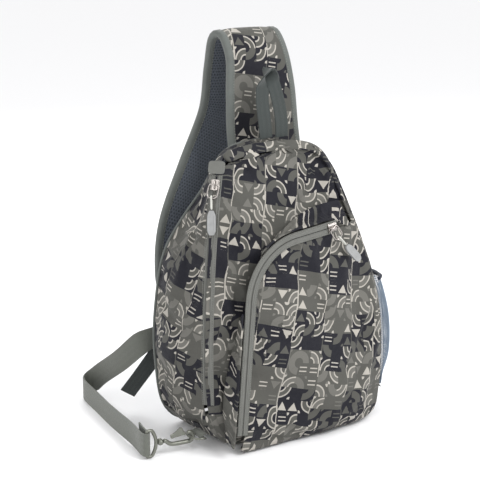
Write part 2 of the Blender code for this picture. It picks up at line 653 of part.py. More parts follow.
# ---- Ring and swivel hook
def ring_and_tab():
    half = RING_HALF - RING_WIRE
    bow = [(0, half, 0), (-4 * MM, half, 0)]
    bow += [(-4 * MM - (RING_REACH - 4 * MM) * sin(t), half * cos(t), 0)
            for t in [pi * s / 12 for s in range(1, 12)]]
    bow += [(-4 * MM, -half, 0), (0, -half, 0)]
    tube("d_ring", bow, RING_WIRE, "olive_metal", closed=True,
         place=Matrix.Translation(RING_BAR))
    radius = RING_WIRE + WEBBING_THICK / 2 + 0.5 * MM
    fold = [(4.3 * MM, radius + 0.5 * MM), (2.5 * MM, radius + 0.2 * MM)]
    fold += [(-radius * sin(t), radius * cos(t)) for t in [pi * s / 8 for s in range(9)]]
    fold += [(2.5 * MM, -radius - 0.2 * MM), (4.3 * MM, -radius - 0.5 * MM)]
    path = [RING_BAR + Vector((x, 0, z)) for x, z in fold]
    ribbon("ring_tab", path, [Y_AXIS] * len(path), 22 * MM, WEBBING_THICK, "webbing")


def hook():
    """X runs from the swivel to the bight, Y is up and Z level."""
    place = axes(HOOK_AT, HOOK_TO, HOOK_TO.cross(Z_AXIS))
    bar, half = 1.3 * MM, 14.1 * MM
    eye = [(-3.2 * MM, 4.5 * MM), (-7 * MM, half - 1.5 * MM), (-8.5 * MM, half), (-13 * MM, half),
           (-14 * MM, half - 1 * MM)]
    ring = [(x, y, 0) for x, y in eye] + [(x, -y, 0) for x, y in reversed(eye)]
    tube("hook_eye", ring, bar, "olive_metal", closed=True, place=place)
    pin = [(x, 0, 0) for x in (-1.2 * MM, 3.4 * MM)]
    tube("hook_collar", pin, 3.4 * MM, "olive_metal", place=place, sides=4)
    low = -5.4 * MM
    bend = arc((33 * MM, -0.4 * MM), 5.0 * MM, -90, 105, 10)
    shank = [(4.7 * MM, 0, 0), (7.5 * MM, 0, 0), (11 * MM, low * 0.75, 0), (16 * MM, low, 0)]
    body = shank + [(x, y, 0) for x, y in bend]
    tube("hook_body", body, HOOK_WIRE, "olive_metal", place=place)
    gate = [(13.5 * MM, 1.5 * MM), (13.0 * MM, 4.6 * MM), (18 * MM, 6.2 * MM), (23.5 * MM, 10.8 * MM),
            (26 * MM, 10.4 * MM), (27.2 * MM, 6.4 * MM), (29.2 * MM, 6.0 * MM), (29.2 * MM, 3.2 * MM),
            (20 * MM, 2.6 * MM)]
    outline("hook_gate", gate, 3.2 * MM, "olive_metal", place)


# ---- Mesh side pocket
NET_LOW, NET_HIGH, NET_BACK, NET_FRONT = 24 * MM, 146 * MM, 36 * MM, -41 * MM


def side_pocket():
    """A bulging net on the right-hand wall, open at its gathered top hem."""
    rows = []
    for z in np.linspace(NET_LOW, NET_HIGH, 12):
        up = (z - NET_LOW) / (NET_HIGH - NET_LOW)
        reach = mirrored(Vector((-half_width(FRONT, z), 0, z))).x
        bulge = (11 + 15 * sin(pi * min(1.0, up * 0.8 + 0.12))) * MM
        bulge *= min(1.0, 0.25 + 3.4 * up)
        row = []
        for part in np.linspace(0, 1, 11):
            y = NET_BACK + (NET_FRONT - NET_BACK) * part
            x = reach + SIDE_BULGE * 1.25 + 0.8 * MM + bulge * sin(pi * part) ** 0.4
            row.append(Vector((x, y, z)))
        rows.append(row)
    sheet("side_mesh", rows, 1.2 * MM, "mesh", offset=1.0)
    top = rows[-1]
    hem = [p + Vector((0.3 * MM, 0, 3.2 * MM)) for p in top]
    tube("side_mesh_hem", hem, 2.4 * MM, "mesh", sides=2)
    foot = rows[0]
    path = [p + Vector((-0.6 * MM, 0, -1.6 * MM)) for p in foot]
    tube("side_mesh_seam", path, 1.1 * MM, "binding", sides=1)


def inner_pocket():
    """A slip pocket of lining fabric hung on the inside of the back board."""
    rows = []
    for z in np.linspace(90 * MM, 215 * MM, 6):
        half = 70 * MM
        y = depth_at(BACK, z) - PAD_THICK - 2.5 * MM - 1.2 * MM
        rows.append([Vector((s * half, y - (1.8 + 7.5 * (1 - s * s)) * MM, z)) for s in np.linspace(-1, 1, 9)])
    sheet("inner_pocket", rows, 1.0 * MM, "lining", offset=-1.0)


def hood():
    """Small folded tab over the upper end of the main zip."""
    out, ahead = edge_frame(1.03 * EDGE_HALF_TURN)
    at = EDGE_CENTRE + out * (EDGE_RADIUS - TAPE_SET_BACK + 2.2 * MM)
    outline("zip_hood", rounded(13 * MM, 17 * MM, 3 * MM), 2.0 * MM, "tape",
            axes(at + ahead * 2 * MM, ahead, out))


def build():
    body_panels()
    front_and_back()
    front_binding()
    back_binding()
    main_zip()
    pocket_zip()
    rows = pocket_face()
    pocket_border()
    pocket_base(rows)
    strap()
    webbing()
    handle()
    adjuster()
    ring_and_tab()
    hook()
    side_pocket()
    inner_pocket()
    hood()


build()
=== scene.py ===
# %% [markdown]
# # A sling bag, from its frame to its finish
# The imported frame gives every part's place: panels, zips, strap, webbing and hook. This notebook
# turns those plain solids into cloth, webbing, tape, net and metal. Each piece is made where it
# belongs, in metres, with +Z up and the front of the bag facing -Y.

# %% Load the frame
import json
from functools import partial
from math import asin, cos, pi, radians, sin, sqrt

import bpy
import bmesh
import numpy as np
from mathutils import Matrix, Vector


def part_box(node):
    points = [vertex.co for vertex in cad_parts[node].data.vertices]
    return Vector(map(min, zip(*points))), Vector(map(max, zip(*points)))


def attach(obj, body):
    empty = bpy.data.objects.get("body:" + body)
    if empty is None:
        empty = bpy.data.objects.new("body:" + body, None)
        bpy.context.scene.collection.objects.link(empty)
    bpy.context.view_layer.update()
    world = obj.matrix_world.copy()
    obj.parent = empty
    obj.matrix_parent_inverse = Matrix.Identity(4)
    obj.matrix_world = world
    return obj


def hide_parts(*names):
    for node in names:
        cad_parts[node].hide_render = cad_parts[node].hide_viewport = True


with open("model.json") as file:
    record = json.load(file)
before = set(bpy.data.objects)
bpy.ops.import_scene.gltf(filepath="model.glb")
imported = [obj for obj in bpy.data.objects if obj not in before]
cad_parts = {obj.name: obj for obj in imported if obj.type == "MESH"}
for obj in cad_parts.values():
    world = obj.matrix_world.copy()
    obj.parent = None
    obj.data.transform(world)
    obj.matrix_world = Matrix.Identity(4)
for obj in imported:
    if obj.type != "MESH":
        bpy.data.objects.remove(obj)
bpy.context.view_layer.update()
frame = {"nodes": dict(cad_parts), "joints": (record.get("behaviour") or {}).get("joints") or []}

MM = 0.001
X_AXIS, Y_AXIS, Z_AXIS = Vector((1, 0, 0)), Vector((0, 1, 0)), Vector((0, 0, 1))
JOINTS = {joint["name"]: joint for joint in frame["joints"]}

# %% [markdown]
# ## Camera, floor and light
# A product shot on white: the camera stands to the front left and a little above the bag, far
# enough away for a calm perspective. One large soft light comes from the front right, a weaker one
# fills the left side, and the white surroundings do the rest.

# %% Camera
AIM = Vector((-0.0316, 0.0017, 0.2058))
CAMERA_AZIMUTH, CAMERA_ELEVATION, CAMERA_DISTANCE, LENS = radians(-34), radians(14), 1.42, 101.2
back = Vector((sin(CAMERA_AZIMUTH) * cos(CAMERA_ELEVATION), -cos(CAMERA_AZIMUTH) * cos(CAMERA_ELEVATION),
               sin(CAMERA_ELEVATION)))
bpy.ops.object.camera_add(location=AIM + back * CAMERA_DISTANCE)
camera = bpy.context.object
camera.rotation_euler = back.to_track_quat("Z", "Y").to_euler()
camera.data.lens = LENS
bpy.context.scene.camera = camera
print("camera stands", round(CAMERA_DISTANCE, 2), "m away")

# %% Floor and lights
FLOOR_SIZE, FLOOR_HEIGHT, FLOOR_COLOUR = 40, -0.0006, (0.93, 0.93, 0.94, 1)
bpy.ops.mesh.primitive_plane_add(size=FLOOR_SIZE, location=(0, 0, FLOOR_HEIGHT))
floor = bpy.context.object
floor.name = "floor"
pale = bpy.data.materials.new("pale_floor")
pale.use_nodes = True
pale_inputs = pale.node_tree.nodes["Principled BSDF"].inputs
pale_inputs["Base Color"].default_value = FLOOR_COLOUR
pale_inputs["Roughness"].default_value = 0.9
floor.data.materials.append(pale)


def soft_light(name, place, size, power):
    """A square lamp that faces the middle of the bag."""
    bpy.ops.object.light_add(type="AREA", location=place)
    lamp = bpy.context.object
    lamp.name = name
    lamp.data.size = size
    lamp.data.energy = power
    lamp.rotation_euler = (Vector(place) - Vector((0, 0, 0.2))).to_track_quat("Z", "Y").to_euler()
    return lamp


soft_light("key", (0.5, -1.4, 1.5), 0.9, 26)
soft_light("left_fill", (-1.6, -0.7, 0.9), 1.2, 6)
soft_light("back_rim", (0.4, 1.3, 1.3), 0.9, 12)
world = bpy.data.worlds.new("white_room")
bpy.context.scene.world = world
world.use_nodes = True
room = world.node_tree.nodes["Background"].inputs
room["Color"].default_value, room["Strength"].default_value = (1, 1, 1, 1), 1.0
bpy.context.scene.view_settings.view_transform = "Standard"

# %% [markdown]
# ## A small kit for materials
# Each finish is a Principled shader. A number or colour that is the same all over is set on the
# shader's own socket; what varies comes from a few nodes. These helpers keep the node trees short
# enough to read: `calc` is one Math node, and `tint` picks between two colours.

# %% Material helpers
GLOSSY, MATT = 0.5, 0.18


def new_finish(name, colour, rough, metal=0.0, sheen=0.0):
    made = bpy.data.materials.new(name)
    made.use_nodes = True
    shader = made.node_tree.nodes["Principled BSDF"]
    settings = {"Base Color": (*colour, 1), "Roughness": rough, "Metallic": metal, "Sheen Weight": sheen,
                "Specular IOR Level": GLOSSY if rough < 0.6 else MATT}
    for socket, value in settings.items():
        shader.inputs[socket].default_value = value
    return made, made.node_tree, shader


def plug(tree, socket, value):
    if isinstance(value, bpy.types.NodeSocket):
        tree.links.new(value, socket)
    else:
        socket.default_value = value


def calc(tree, operation, first, second=0.0, third=0.0):
    step = tree.nodes.new("ShaderNodeMath")
    step.operation = operation
    for socket, value in zip(step.inputs, (first, second, third)):
        plug(tree, socket, value)
    return step.outputs[0]


def tint(tree, share, low, high):
    """The colour low where share is 0 and high where it is 1."""
    mix = tree.nodes.new("ShaderNodeMix")
    mix.data_type = "RGBA"
    plug(tree, mix.inputs[0], share)
    plug(tree, mix.inputs[6], low if isinstance(low, bpy.types.NodeSocket) else (*low, 1))
    plug(tree, mix.inputs[7], high if isinstance(high, bpy.types.NodeSocket) else (*high, 1))
    return mix.outputs[2]


def between(tree, value, low, high):
    """1 where value lies between low and high, else 0."""
    above = calc(tree, "GREATER_THAN", value, low)
    return calc(tree, "MULTIPLY", above, calc(tree, "LESS_THAN", value, high))


def flat_place(tree):
    """The cloth's own flat coordinates in metres, from the UV map that each cloth piece carries."""
    source = tree.nodes.new("ShaderNodeUVMap")
    source.uv_map = "cloth"
    split = tree.nodes.new("ShaderNodeSeparateXYZ")
    tree.links.new(source.outputs[0], split.inputs[0])
    return split.outputs[0], split.outputs[1], source.outputs[0]


def object_place(tree):
    source = tree.nodes.new("ShaderNodeTexCoord")
    split = tree.nodes.new("ShaderNodeSeparateXYZ")
    tree.links.new(source.outputs["Object"], split.inputs[0])
    return split.outputs[0], split.outputs[1], split.outputs[2], source.outputs["Object"]


def noise(tree, place, scale, detail=3.0, rough=0.5):
    grain = tree.nodes.new("ShaderNodeTexNoise")
    grain.inputs["Scale"].default_value = scale
    grain.inputs["Detail"].default_value = detail
    grain.inputs["Roughness"].default_value = rough
    tree.links.new(place, grain.inputs["Vector"])
    return grain.outputs["Fac"]


def bump(tree, shader, height, depth, strength=1.0):
    node = tree.nodes.new("ShaderNodeBump")
    node.inputs["Distance"].default_value = depth
    node.inputs["Strength"].default_value = strength
    plug(tree, node.inputs["Height"], height)
    tree.links.new(node.outputs[0], shader.inputs["Normal"])


def wave(tree, value, pitch):
    """A ripple from 0 to 1 that repeats every pitch metres."""
    turned = calc(tree, "MULTIPLY", value, 2 * pi / pitch)
    return calc(tree, "MULTIPLY_ADD", calc(tree, "SINE", turned), 0.5, 0.5)


# %% [markdown]
# ## The printed cloth
# The bag's cloth has a busy two-tone print: blocks of dark navy and olive grey, about as wide as
# two fingers, each filled with pale line work. This print is a plain geometric one. Blocks in a
# leaning chequer carry smaller tiles, and each tile holds quarter rings, bars or nothing. A random
# number for each tile turns it one way or another, so that the rings join into loose curves.

# %% The print's material
BLOCK = 40 * MM
PRINT_LEAN = radians(13)
NAVY, OLIVE = (0.0060, 0.0062, 0.0120), (0.076, 0.075, 0.067)
STONE, CREAM = (0.135, 0.131, 0.118), (0.390, 0.368, 0.330)


def random_of(tree, x, y, seed):
    """A random number for each whole pair x, y."""
    join = tree.nodes.new("ShaderNodeCombineXYZ")
    plug(tree, join.inputs[0], x)
    plug(tree, join.inputs[1], y)
    join.inputs[2].default_value = seed
    chance = tree.nodes.new("ShaderNodeTexWhiteNoise")
    tree.links.new(join.outputs[0], chance.inputs["Vector"])
    return chance.outputs["Value"]


def ring(tree, x, y, corner_x, corner_y):
    """Distance from a tile's corner, in tile widths."""
    across = calc(tree, "POWER", calc(tree, "ABSOLUTE", calc(tree, "SUBTRACT", x, corner_x)), 2)
    upward = calc(tree, "POWER", calc(tree, "ABSOLUTE", calc(tree, "SUBTRACT", y, corner_y)), 2)
    return calc(tree, "SQRT", calc(tree, "ADD", across, upward))


def printed_cloth(name):
    made, tree, shader = new_finish(name, STONE, 0.72, sheen=0.04)
    do = partial(calc, tree)
    u, v, place = flat_place(tree)
    lean, rise = sin(PRINT_LEAN), cos(PRINT_LEAN)
    x = do("MULTIPLY_ADD", u, rise / BLOCK, do("MULTIPLY", v, -lean / BLOCK))
    column = do("FLOOR", x)
    step = do("MULTIPLY", do("MODULO", do("ABSOLUTE", column), 2), 0.5)
    up = do("MULTIPLY_ADD", u, lean / BLOCK, do("MULTIPLY", v, rise / BLOCK))
    y = do("ADD", up, step)
    row = do("FLOOR", y)
    parity = do("MODULO", do("ABSOLUTE", do("ADD", column, row)), 2)
    # the small tiles: three across and three up in each block
    tile_x, tile_y = do("MULTIPLY", x, 3), do("MULTIPLY", y, 3)
    cell_x, cell_y = do("FLOOR", tile_x), do("FLOOR", tile_y)
    local_x, local_y = do("SUBTRACT", tile_x, cell_x), do("SUBTRACT", tile_y, cell_y)
    chance, kind = random_of(tree, cell_x, cell_y, 1.0), random_of(tree, cell_x, cell_y, 2.0)
    flip = do("GREATER_THAN", chance, 0.5)
    tip = do("GREATER_THAN", do("FRACT", do("MULTIPLY", chance, 6.0)), 0.5)
    local_x = do("ABSOLUTE", do("SUBTRACT", local_x, flip))
    local_y = do("ABSOLUTE", do("SUBTRACT", local_y, tip))
    near, far = ring(tree, local_x, local_y, 0.0, 0.0), ring(tree, local_x, local_y, 1.0, 1.0)
    line = do("MAXIMUM", between(tree, near, 0.82, 0.93), between(tree, near, 0.38, 0.49))
    line = do("MAXIMUM", line, do("LESS_THAN", far, 0.22))
    fill = between(tree, near, 0.49, 0.82)
    bars = do("GREATER_THAN", wave(tree, local_y, 0.30), 0.78)
    inside = do("MULTIPLY", between(tree, local_x, 0.16, 0.84), between(tree, local_y, 0.12, 0.92))
    bars = do("MULTIPLY", bars, inside)
    slant = do("MULTIPLY", do("ABSOLUTE", do("SUBTRACT", local_x, 0.5)), 1.5)
    wedge = do("GREATER_THAN", do("SUBTRACT", local_y, 0.22), slant)
    wedge = do("MULTIPLY", wedge, do("LESS_THAN", local_y, 0.86))
    is_bar, is_plain = do("GREATER_THAN", kind, 0.82), do("LESS_THAN", kind, 0.12)
    is_wedge = between(tree, kind, 0.12, 0.26)
    others = do("MAXIMUM", is_bar, do("MAXIMUM", is_plain, is_wedge))
    is_ring = do("SUBTRACT", 1.0, others)
    pale = do("ADD", do("MULTIPLY", line, is_ring), do("MULTIPLY", bars, is_bar))
    pale = do("ADD", pale, do("MULTIPLY", wedge, is_wedge))
    side = do("FRACT", do("ADD", x, 100.0))
    edge = do("LESS_THAN", do("MINIMUM", side, do("SUBTRACT", 1.0, side)), 0.022)
    pale = do("MAXIMUM", pale, do("MULTIPLY", edge, do("GREATER_THAN", chance, 0.3)))
    ground = tint(tree, parity, NAVY, OLIVE)
    ground = tint(tree, do("MULTIPLY", fill, is_ring), ground, tint(tree, parity, OLIVE, STONE))
    swap = do("GREATER_THAN", random_of(tree, cell_x, cell_y, 3.0), 0.45)
    printed = tint(tree, pale, ground, tint(tree, swap, tint(tree, parity, OLIVE, STONE), CREAM))
    worn = noise(tree, place, 160, 4.0, 0.6)
    printed = tint(tree, do("MULTIPLY", worn, 0.07), printed, STONE)
    tree.links.new(printed, shader.inputs["Base Color"])
    thread = do("ADD", wave(tree, u, 0.9 * MM), wave(tree, v, 0.9 * MM))
    crinkle = do("MULTIPLY_ADD", noise(tree, place, 55, 4.0, 0.6), 5.0, do("MULTIPLY", thread, 0.35))
    bump(tree, shader, crinkle, 0.35 * MM, 0.9)
    rough = do("MULTIPLY_ADD", noise(tree, place, 30), 0.22, 0.56)
    tree.links.new(rough, shader.inputs["Roughness"])
    return made


PRINT = printed_cloth("printed_cloth")

# %% [markdown]
# ## Webbing, bindings, tapes, mesh, metal and rubber
# Webbing is a flat herringbone weave, so its columns of slanting ribs change direction every few
# millimetres. Grosgrain binding has fine ribs across it. Zip tape is knitted in lengthwise cords.
# The air mesh is a knit with small round holes in rows.

# %% Woven finishes
def webbing_finish(name, colour):
    made, tree, shader = new_finish(name, colour, 0.62, sheen=0.2)
    u, v, place = flat_place(tree)
    folded = calc(tree, "PINGPONG", u, 3.1 * MM)
    ribs = wave(tree, calc(tree, "ADD", v, folded), 1.5 * MM)
    dark = tuple(c * 0.62 for c in colour)
    worn = noise(tree, place, 220, 4.0, 0.65)
    shade = calc(tree, "MULTIPLY_ADD", ribs, 0.6, calc(tree, "MULTIPLY", worn, 0.4))
    light = tuple(min(1, c * 1.2) for c in colour)
    tree.links.new(tint(tree, shade, dark, light), shader.inputs["Base Color"])
    bump(tree, shader, ribs, 0.25 * MM, 0.8)
    return made


def ribbed_finish(name, colour, pitch=1.1 * MM, rough=0.66):
    """Fine ribs that read on any side of a narrow band: a ripple along all three directions."""
    made, tree, shader = new_finish(name, colour, rough, sheen=0.15)
    x, y, z, place = object_place(tree)
    across = calc(tree, "MULTIPLY", x, 0.7)
    slope = calc(tree, "ADD", across, calc(tree, "ADD", z, calc(tree, "MULTIPLY", y, 0.5)))
    ribs = wave(tree, slope, pitch)
    blotch = noise(tree, place, 120, 3.0, 0.6)
    dark, light = tuple(c * 0.68 for c in colour), tuple(min(1, c * 1.22) for c in colour)
    shade = calc(tree, "MULTIPLY_ADD", ribs, 0.45, calc(tree, "MULTIPLY", blotch, 0.55))
    tree.links.new(tint(tree, shade, dark, light), shader.inputs["Base Color"])
    bump(tree, shader, ribs, 0.16 * MM, 0.7)
    return made


def air_mesh_finish(name, colour, pitch):
    made, tree, shader = new_finish(name, colour, 0.85, sheen=0.2)
    u, v, _ = flat_place(tree)
    row = calc(tree, "FLOOR", calc(tree, "DIVIDE", v, pitch))
    shift = calc(tree, "MULTIPLY", calc(tree, "MODULO", calc(tree, "ABSOLUTE", row), 2), 0.5)
    across = calc(tree, "FRACT", calc(tree, "ADD", calc(tree, "DIVIDE", u, pitch), shift))
    upward = calc(tree, "FRACT", calc(tree, "DIVIDE", v, pitch))
    hole = ring(tree, across, upward, 0.5, 0.5)
    cover = calc(tree, "SMOOTH_MIN", calc(tree, "MULTIPLY", hole, 2.6), 1.0, 0.3)
    # painted shade: the holes are coloured nearly black for the shade down inside them; the bump gives their
    # real relief
    dark = tuple(c * 0.16 for c in colour)
    tree.links.new(tint(tree, cover, dark, colour), shader.inputs["Base Color"])
    bump(tree, shader, cover, 0.9 * MM, 0.9)
    return made


def grained_finish(name, colour, rough, grain, depth, metal=0.0, sheen=0.0):
    """Moulded, cast or plain pieces: a little uneven in colour, gloss and surface."""
    made, tree, shader = new_finish(name, colour, rough, metal, sheen)
    place = object_place(tree)[-1]
    speck = noise(tree, place, grain, 4.0, 0.6)
    cloud = noise(tree, place, grain / 8, 2.0)
    dark, light = tuple(c * 0.82 for c in colour), tuple(min(1, c * 1.14) for c in colour)
    tree.links.new(tint(tree, cloud, dark, light), shader.inputs["Base Color"])
    tree.links.new(calc(tree, "MULTIPLY_ADD", speck, 0.25, rough - 0.12), shader.inputs["Roughness"])
    bump(tree, shader, speck, depth, 0.6)
    return made


WEBBING = webbing_finish("webbing", (0.135, 0.142, 0.124))
# painted shade: the tail and the handle get a darker copy of the same webbing, standing in for the shade they
# lie in
SHADE_PAINTED_WEBBING = webbing_finish("shade_painted_webbing", (0.042, 0.050, 0.048))
GROSGRAIN = ribbed_finish("grosgrain", (0.118, 0.128, 0.120))
TAPE = ribbed_finish("zip_tape_knit", (0.150, 0.152, 0.140), 0.9 * MM)
AIR_MESH = air_mesh_finish("air_mesh", (0.088, 0.100, 0.120), 3.3 * MM)
NET = ribbed_finish("net_thread", (0.200, 0.260, 0.340), 1.3 * MM, 0.5)
HEM = ribbed_finish("net_hem_knit", (0.012, 0.016, 0.030), 1.3 * MM, 0.6)
NICKEL = grained_finish("polished_nickel", (0.40, 0.37, 0.35), 0.26, 900, 0.02 * MM, metal=1.0)
OLIVE_METAL = grained_finish("olive_metal", (0.17, 0.175, 0.150), 0.36, 700, 0.03 * MM, metal=0.55)
RUBBER = grained_finish("soft_grip", (0.27, 0.275, 0.275), 0.55, 1500, 0.05 * MM)
CORD = grained_finish("pull_cord", (0.50, 0.50, 0.46), 0.8, 1200, 0.2 * MM, sheen=0.2)
PLASTIC = grained_finish("moulded_plastic", (0.055, 0.058, 0.050), 0.5, 1600, 0.05 * MM)
COIL = grained_finish("coil_nylon", (0.05, 0.052, 0.045), 0.4, 1500, 0.04 * MM)
LINING = grained_finish("lining_cloth", (0.22, 0.22, 0.20), 0.8, 1400, 0.1 * MM, sheen=0.1)
THREAD = grained_finish("thread", (0.235, 0.240, 0.215), 0.6, 2500, 0.05 * MM)
print(len(bpy.data.materials), "materials so far")

# %% [markdown]
# ## Working habits
# Operators act on everything that is selected, so each step selects one piece first. A piece that
# stands in for a plain solid of the frame hides that solid and hangs under the empty of the body it
# rides on.

# %% Helpers for pieces
def only(piece):
    """Selects this piece alone and makes it the active one."""
    if bpy.context.object and bpy.context.object.mode != "OBJECT":
        bpy.ops.object.mode_set(mode="OBJECT")
    bpy.ops.object.select_all(action="DESELECT")
    piece.select_set(True)
    bpy.context.view_layer.objects.active = piece


def modify(piece, kind, **settings):
    """Adds one modifier, sets it and applies it."""
    only(piece)
    tool = piece.modifiers.new(kind.lower(), kind)
    for key, value in settings.items():
        setattr(tool, key, value)
    if kind == "SUBSURF":
        tool.render_levels = tool.levels
    bpy.ops.object.modifier_apply(modifier=tool.name)


def settle(piece, name, finish, body, slot, *nodes, angle=40):
    """Names the piece, gives it its finish, hangs it under the empty of the body it rides on and hides the
    frame parts it replaces.
    """
    only(piece)
    bpy.ops.object.transform_apply(location=True, rotation=True, scale=True)
    bpy.ops.object.shade_smooth_by_angle(angle=radians(angle))
    piece.name = name
    piece.data.name = name
    piece.data.materials.clear()
    piece.data.materials.append(finish)
    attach(piece, body)
    if nodes:
        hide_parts(*nodes)
    return piece


def copy_of(node, name):
    """A welded copy of a frame part, with its triangles joined back into four-sided faces."""
    piece = bpy.data.objects.new(name, frame["nodes"][node].data.copy())
    bpy.context.scene.collection.objects.link(piece)
    only(piece)
    bpy.ops.object.mode_set(mode="EDIT")
    bpy.ops.mesh.select_all(action="SELECT")
    bpy.ops.mesh.remove_doubles(threshold=0.00002)
    bpy.ops.mesh.customdata_custom_splitnormals_clear()
    bpy.ops.mesh.tris_convert_to_quads(face_threshold=radians(50), shape_threshold=radians(70))
    bpy.ops.object.mode_set(mode="OBJECT")
    return piece


# %% [markdown]
# ## Cloth panels
# A sewn panel is one sheet of cloth held along its seams. Each is taken from the outer side of its
# frame panel: the faces that look outwards are kept, the rest deleted. It is then subdivided, its
# edge is tucked a little under the neighbouring tape or binding, and a short cloth simulation with
# its seams pinned lets it puff and crease, because cut cloth is always a little larger than its
# place. Last it gets its thickness.

# %% Helpers for cloth panels
def outer_side(piece, looks):
    """Keeps the faces that look the way of looks(centre) and aren't the narrow rim."""
    only(piece)
    shape = bmesh.new()
    shape.from_mesh(piece.data)
    rim = 2.75 * MM
    away = [f for f in shape.faces
            if f.normal.dot(looks(f.calc_center_median())) < 0.15
            or min(e.calc_length() for e in f.edges) < rim]
    bmesh.ops.delete(shape, geom=away, context="FACES")
    shape.to_mesh(piece.data)
    shape.free()


def tuck(piece, reach, sink, inside):
    """Moves the open edge outwards in the sheet and down under the neighbouring piece."""
    shape = bmesh.new()
    shape.from_mesh(piece.data)
    moves = {}
    for vert in shape.verts:
        if not vert.is_boundary:
            continue
        inner = [e.other_vert(vert) for e in vert.link_edges if not e.other_vert(vert).is_boundary]
        if inner:
            way = (vert.co - inner[0].co).normalized()
        else:
            way = sum(((vert.co - e.other_vert(vert).co).normalized() for e in vert.link_edges), Vector())
            way.normalize()
        moves[vert] = vert.co + way * reach - vert.normal * sink * inside
    for vert, place in moves.items():
        vert.co = place
    shape.to_mesh(piece.data)
    shape.free()


def lay_flat(piece, flat):
    """Writes the cloth's flat coordinates into its UV map."""
    layer = piece.data.uv_layers.get("cloth") or piece.data.uv_layers.new(name="cloth")
    for other in [l for l in piece.data.uv_layers if l.name != "cloth"]:
        piece.data.uv_layers.remove(other)
    layer = piece.data.uv_layers["cloth"]
    for loop in piece.data.loops:
        layer.data[loop.index].uv = flat(piece.data.vertices[loop.vertex_index].co)


def cap_move(piece, start, cap):
    """Holds every point within the distance cap of where it started, and returns the farthest move."""
    move = np.array([v.co[:] for v in piece.data.vertices]) - start
    far = np.linalg.norm(move, axis=1, keepdims=True)
    capped = start + move * np.minimum(1.0, cap / np.maximum(far, 1e-9))
    piece.data.vertices.foreach_set("co", capped.ravel())
    return float(far.max())


CLOTH_STEPS, CLOTH_STIFFNESS = 18, 12.0


def billow(piece, pressure, grow, cap):
    """Cloth pinned at its open edge, a little too large for its place, pushed out from inside."""
    start = np.array([v.co[:] for v in piece.data.vertices])
    shape = bmesh.new()
    shape.from_mesh(piece.data)
    pinned = [v.index for v in shape.verts if v.is_boundary]
    shape.free()
    group = piece.vertex_groups.new(name="sewn")
    group.add(pinned, 1.0, "REPLACE")
    only(piece)
    tool = piece.modifiers.new("cloth", "CLOTH")
    cloth = tool.settings
    settings = {"quality": 6, "mass": 0.15, "tension_stiffness": CLOTH_STIFFNESS,
                "compression_stiffness": CLOTH_STIFFNESS, "shear_stiffness": CLOTH_STIFFNESS / 2,
                "bending_stiffness": 0.12, "air_damping": 2.0,
                "vertex_group_mass": "sewn", "use_pressure": True, "uniform_pressure_force": pressure,
                "shrink_min": -grow}
    for setting, value in settings.items():
        setattr(cloth, setting, value)
    cloth.effector_weights.gravity = 0.15
    tool.collision_settings.use_collision = False
    tool.collision_settings.use_self_collision = False
    tool.point_cache.frame_start = 1
    tool.point_cache.frame_end = CLOTH_STEPS
    for step in range(1, CLOTH_STEPS + 1):
        bpy.context.scene.frame_set(step)
    bpy.ops.object.modifier_apply(modifier=tool.name)
    farthest = cap_move(piece, start, cap)
    piece.data.update()
    piece.vertex_groups.clear()
    bpy.context.scene.frame_set(1)
    print(piece.name, "moved", round(farthest / MM, 1), "mm at most")


CREASE_SIZE = 0.022


def crease(piece, depth):
    """Small uneven dents along the normals, for cloth that has been folded and filled."""
    if not depth:
        return
    texture = bpy.data.textures.new(piece.name + "_creases", "CLOUDS")
    texture.noise_scale = CREASE_SIZE
    texture.noise_depth = 2
    tool = piece.modifiers.new("creases", "DISPLACE")
    tool.texture = texture
    tool.texture_coords = "LOCAL"
    tool.strength = depth
    tool.mid_level = 0.5
    only(piece)
    bpy.ops.object.modifier_apply(modifier=tool.name)


def dent(piece, centre, reach, depth):
    """Presses a soft hollow of this reach and depth; a line of two centres makes a fold."""
    first, last = Vector(centre[0]), Vector(centre[-1])
    run = last - first
    for vert in piece.data.vertices:
        share = 0.0 if run.length < 1e-6 else (vert.co - first).dot(run) / run.length_squared
        away = (vert.co - (first + run * max(0.0, min(1.0, share)))).length / reach
        if away < 2.5:
            vert.co -= vert.normal * depth * 2.718 ** (-away * away)


def cut_size(piece):
    """The width and length that the panel takes up when it is laid flat."""
    places = [tuple(loop.uv) for loop in piece.data.uv_layers["cloth"].data]
    return tuple(max(p[side] for p in places) - min(p[side] for p in places) for side in (0, 1))


def strip_size(piece, area):
    """The width and length of a straight strip with the panel's outline and area, for a curved band."""
    shape = bmesh.new()
    shape.from_mesh(piece.data)
    quarter = sum(edge.calc_length() for edge in shape.edges if edge.is_boundary) / 4
    shape.free()
    spread = sqrt(quarter ** 2 - area)
    return quarter - spread, quarter + spread


def panel(node, name, looks, flat, levels=3, reach=2.6 * MM, sink=1.0 * MM, pressure=1.2, grow=0.03,
          cap=6 * MM, thick=1.4 * MM, crumple=1.6 * MM, finish=None, dents=(), strip=False):
    """One sewn panel from its frame part, from bare faces to finished cloth."""
    piece = copy_of(node, name)
    outer_side(piece, looks)
    modify(piece, "SUBSURF", levels=levels, boundary_smooth="PRESERVE_CORNERS")
    lay_flat(piece, flat)
    area = sum(face.area for face in piece.data.polygons)
    cut = strip_size(piece, area) if strip else cut_size(piece)
    tuck(piece, reach, sink, 1.0)
    billow(piece, pressure, grow, cap=cap)
    crease(piece, crumple)
    for centres, wide, deep in dents:
        dent(piece, [Vector(c) * MM for c in centres], wide * MM, deep * MM)
    modify(piece, "SOLIDIFY", thickness=thick, offset=-1.0, use_even_offset=False)
    settle(piece, name, finish or PRINT, "bag", "printed_fabric", node, angle=60)
    share = area / (cut[0] * cut[1])
    print(name, len(piece.data.polygons), "faces, cut", [round(c / MM) for c in cut], "mm,",
          "filled", round(share, 2))
    return piece


def from_inside(centre):
    return Vector((centre.x, centre.y * 0.4, centre.z - 0.15)).normalized()


def forwards(centre):
    return -Y_AXIS


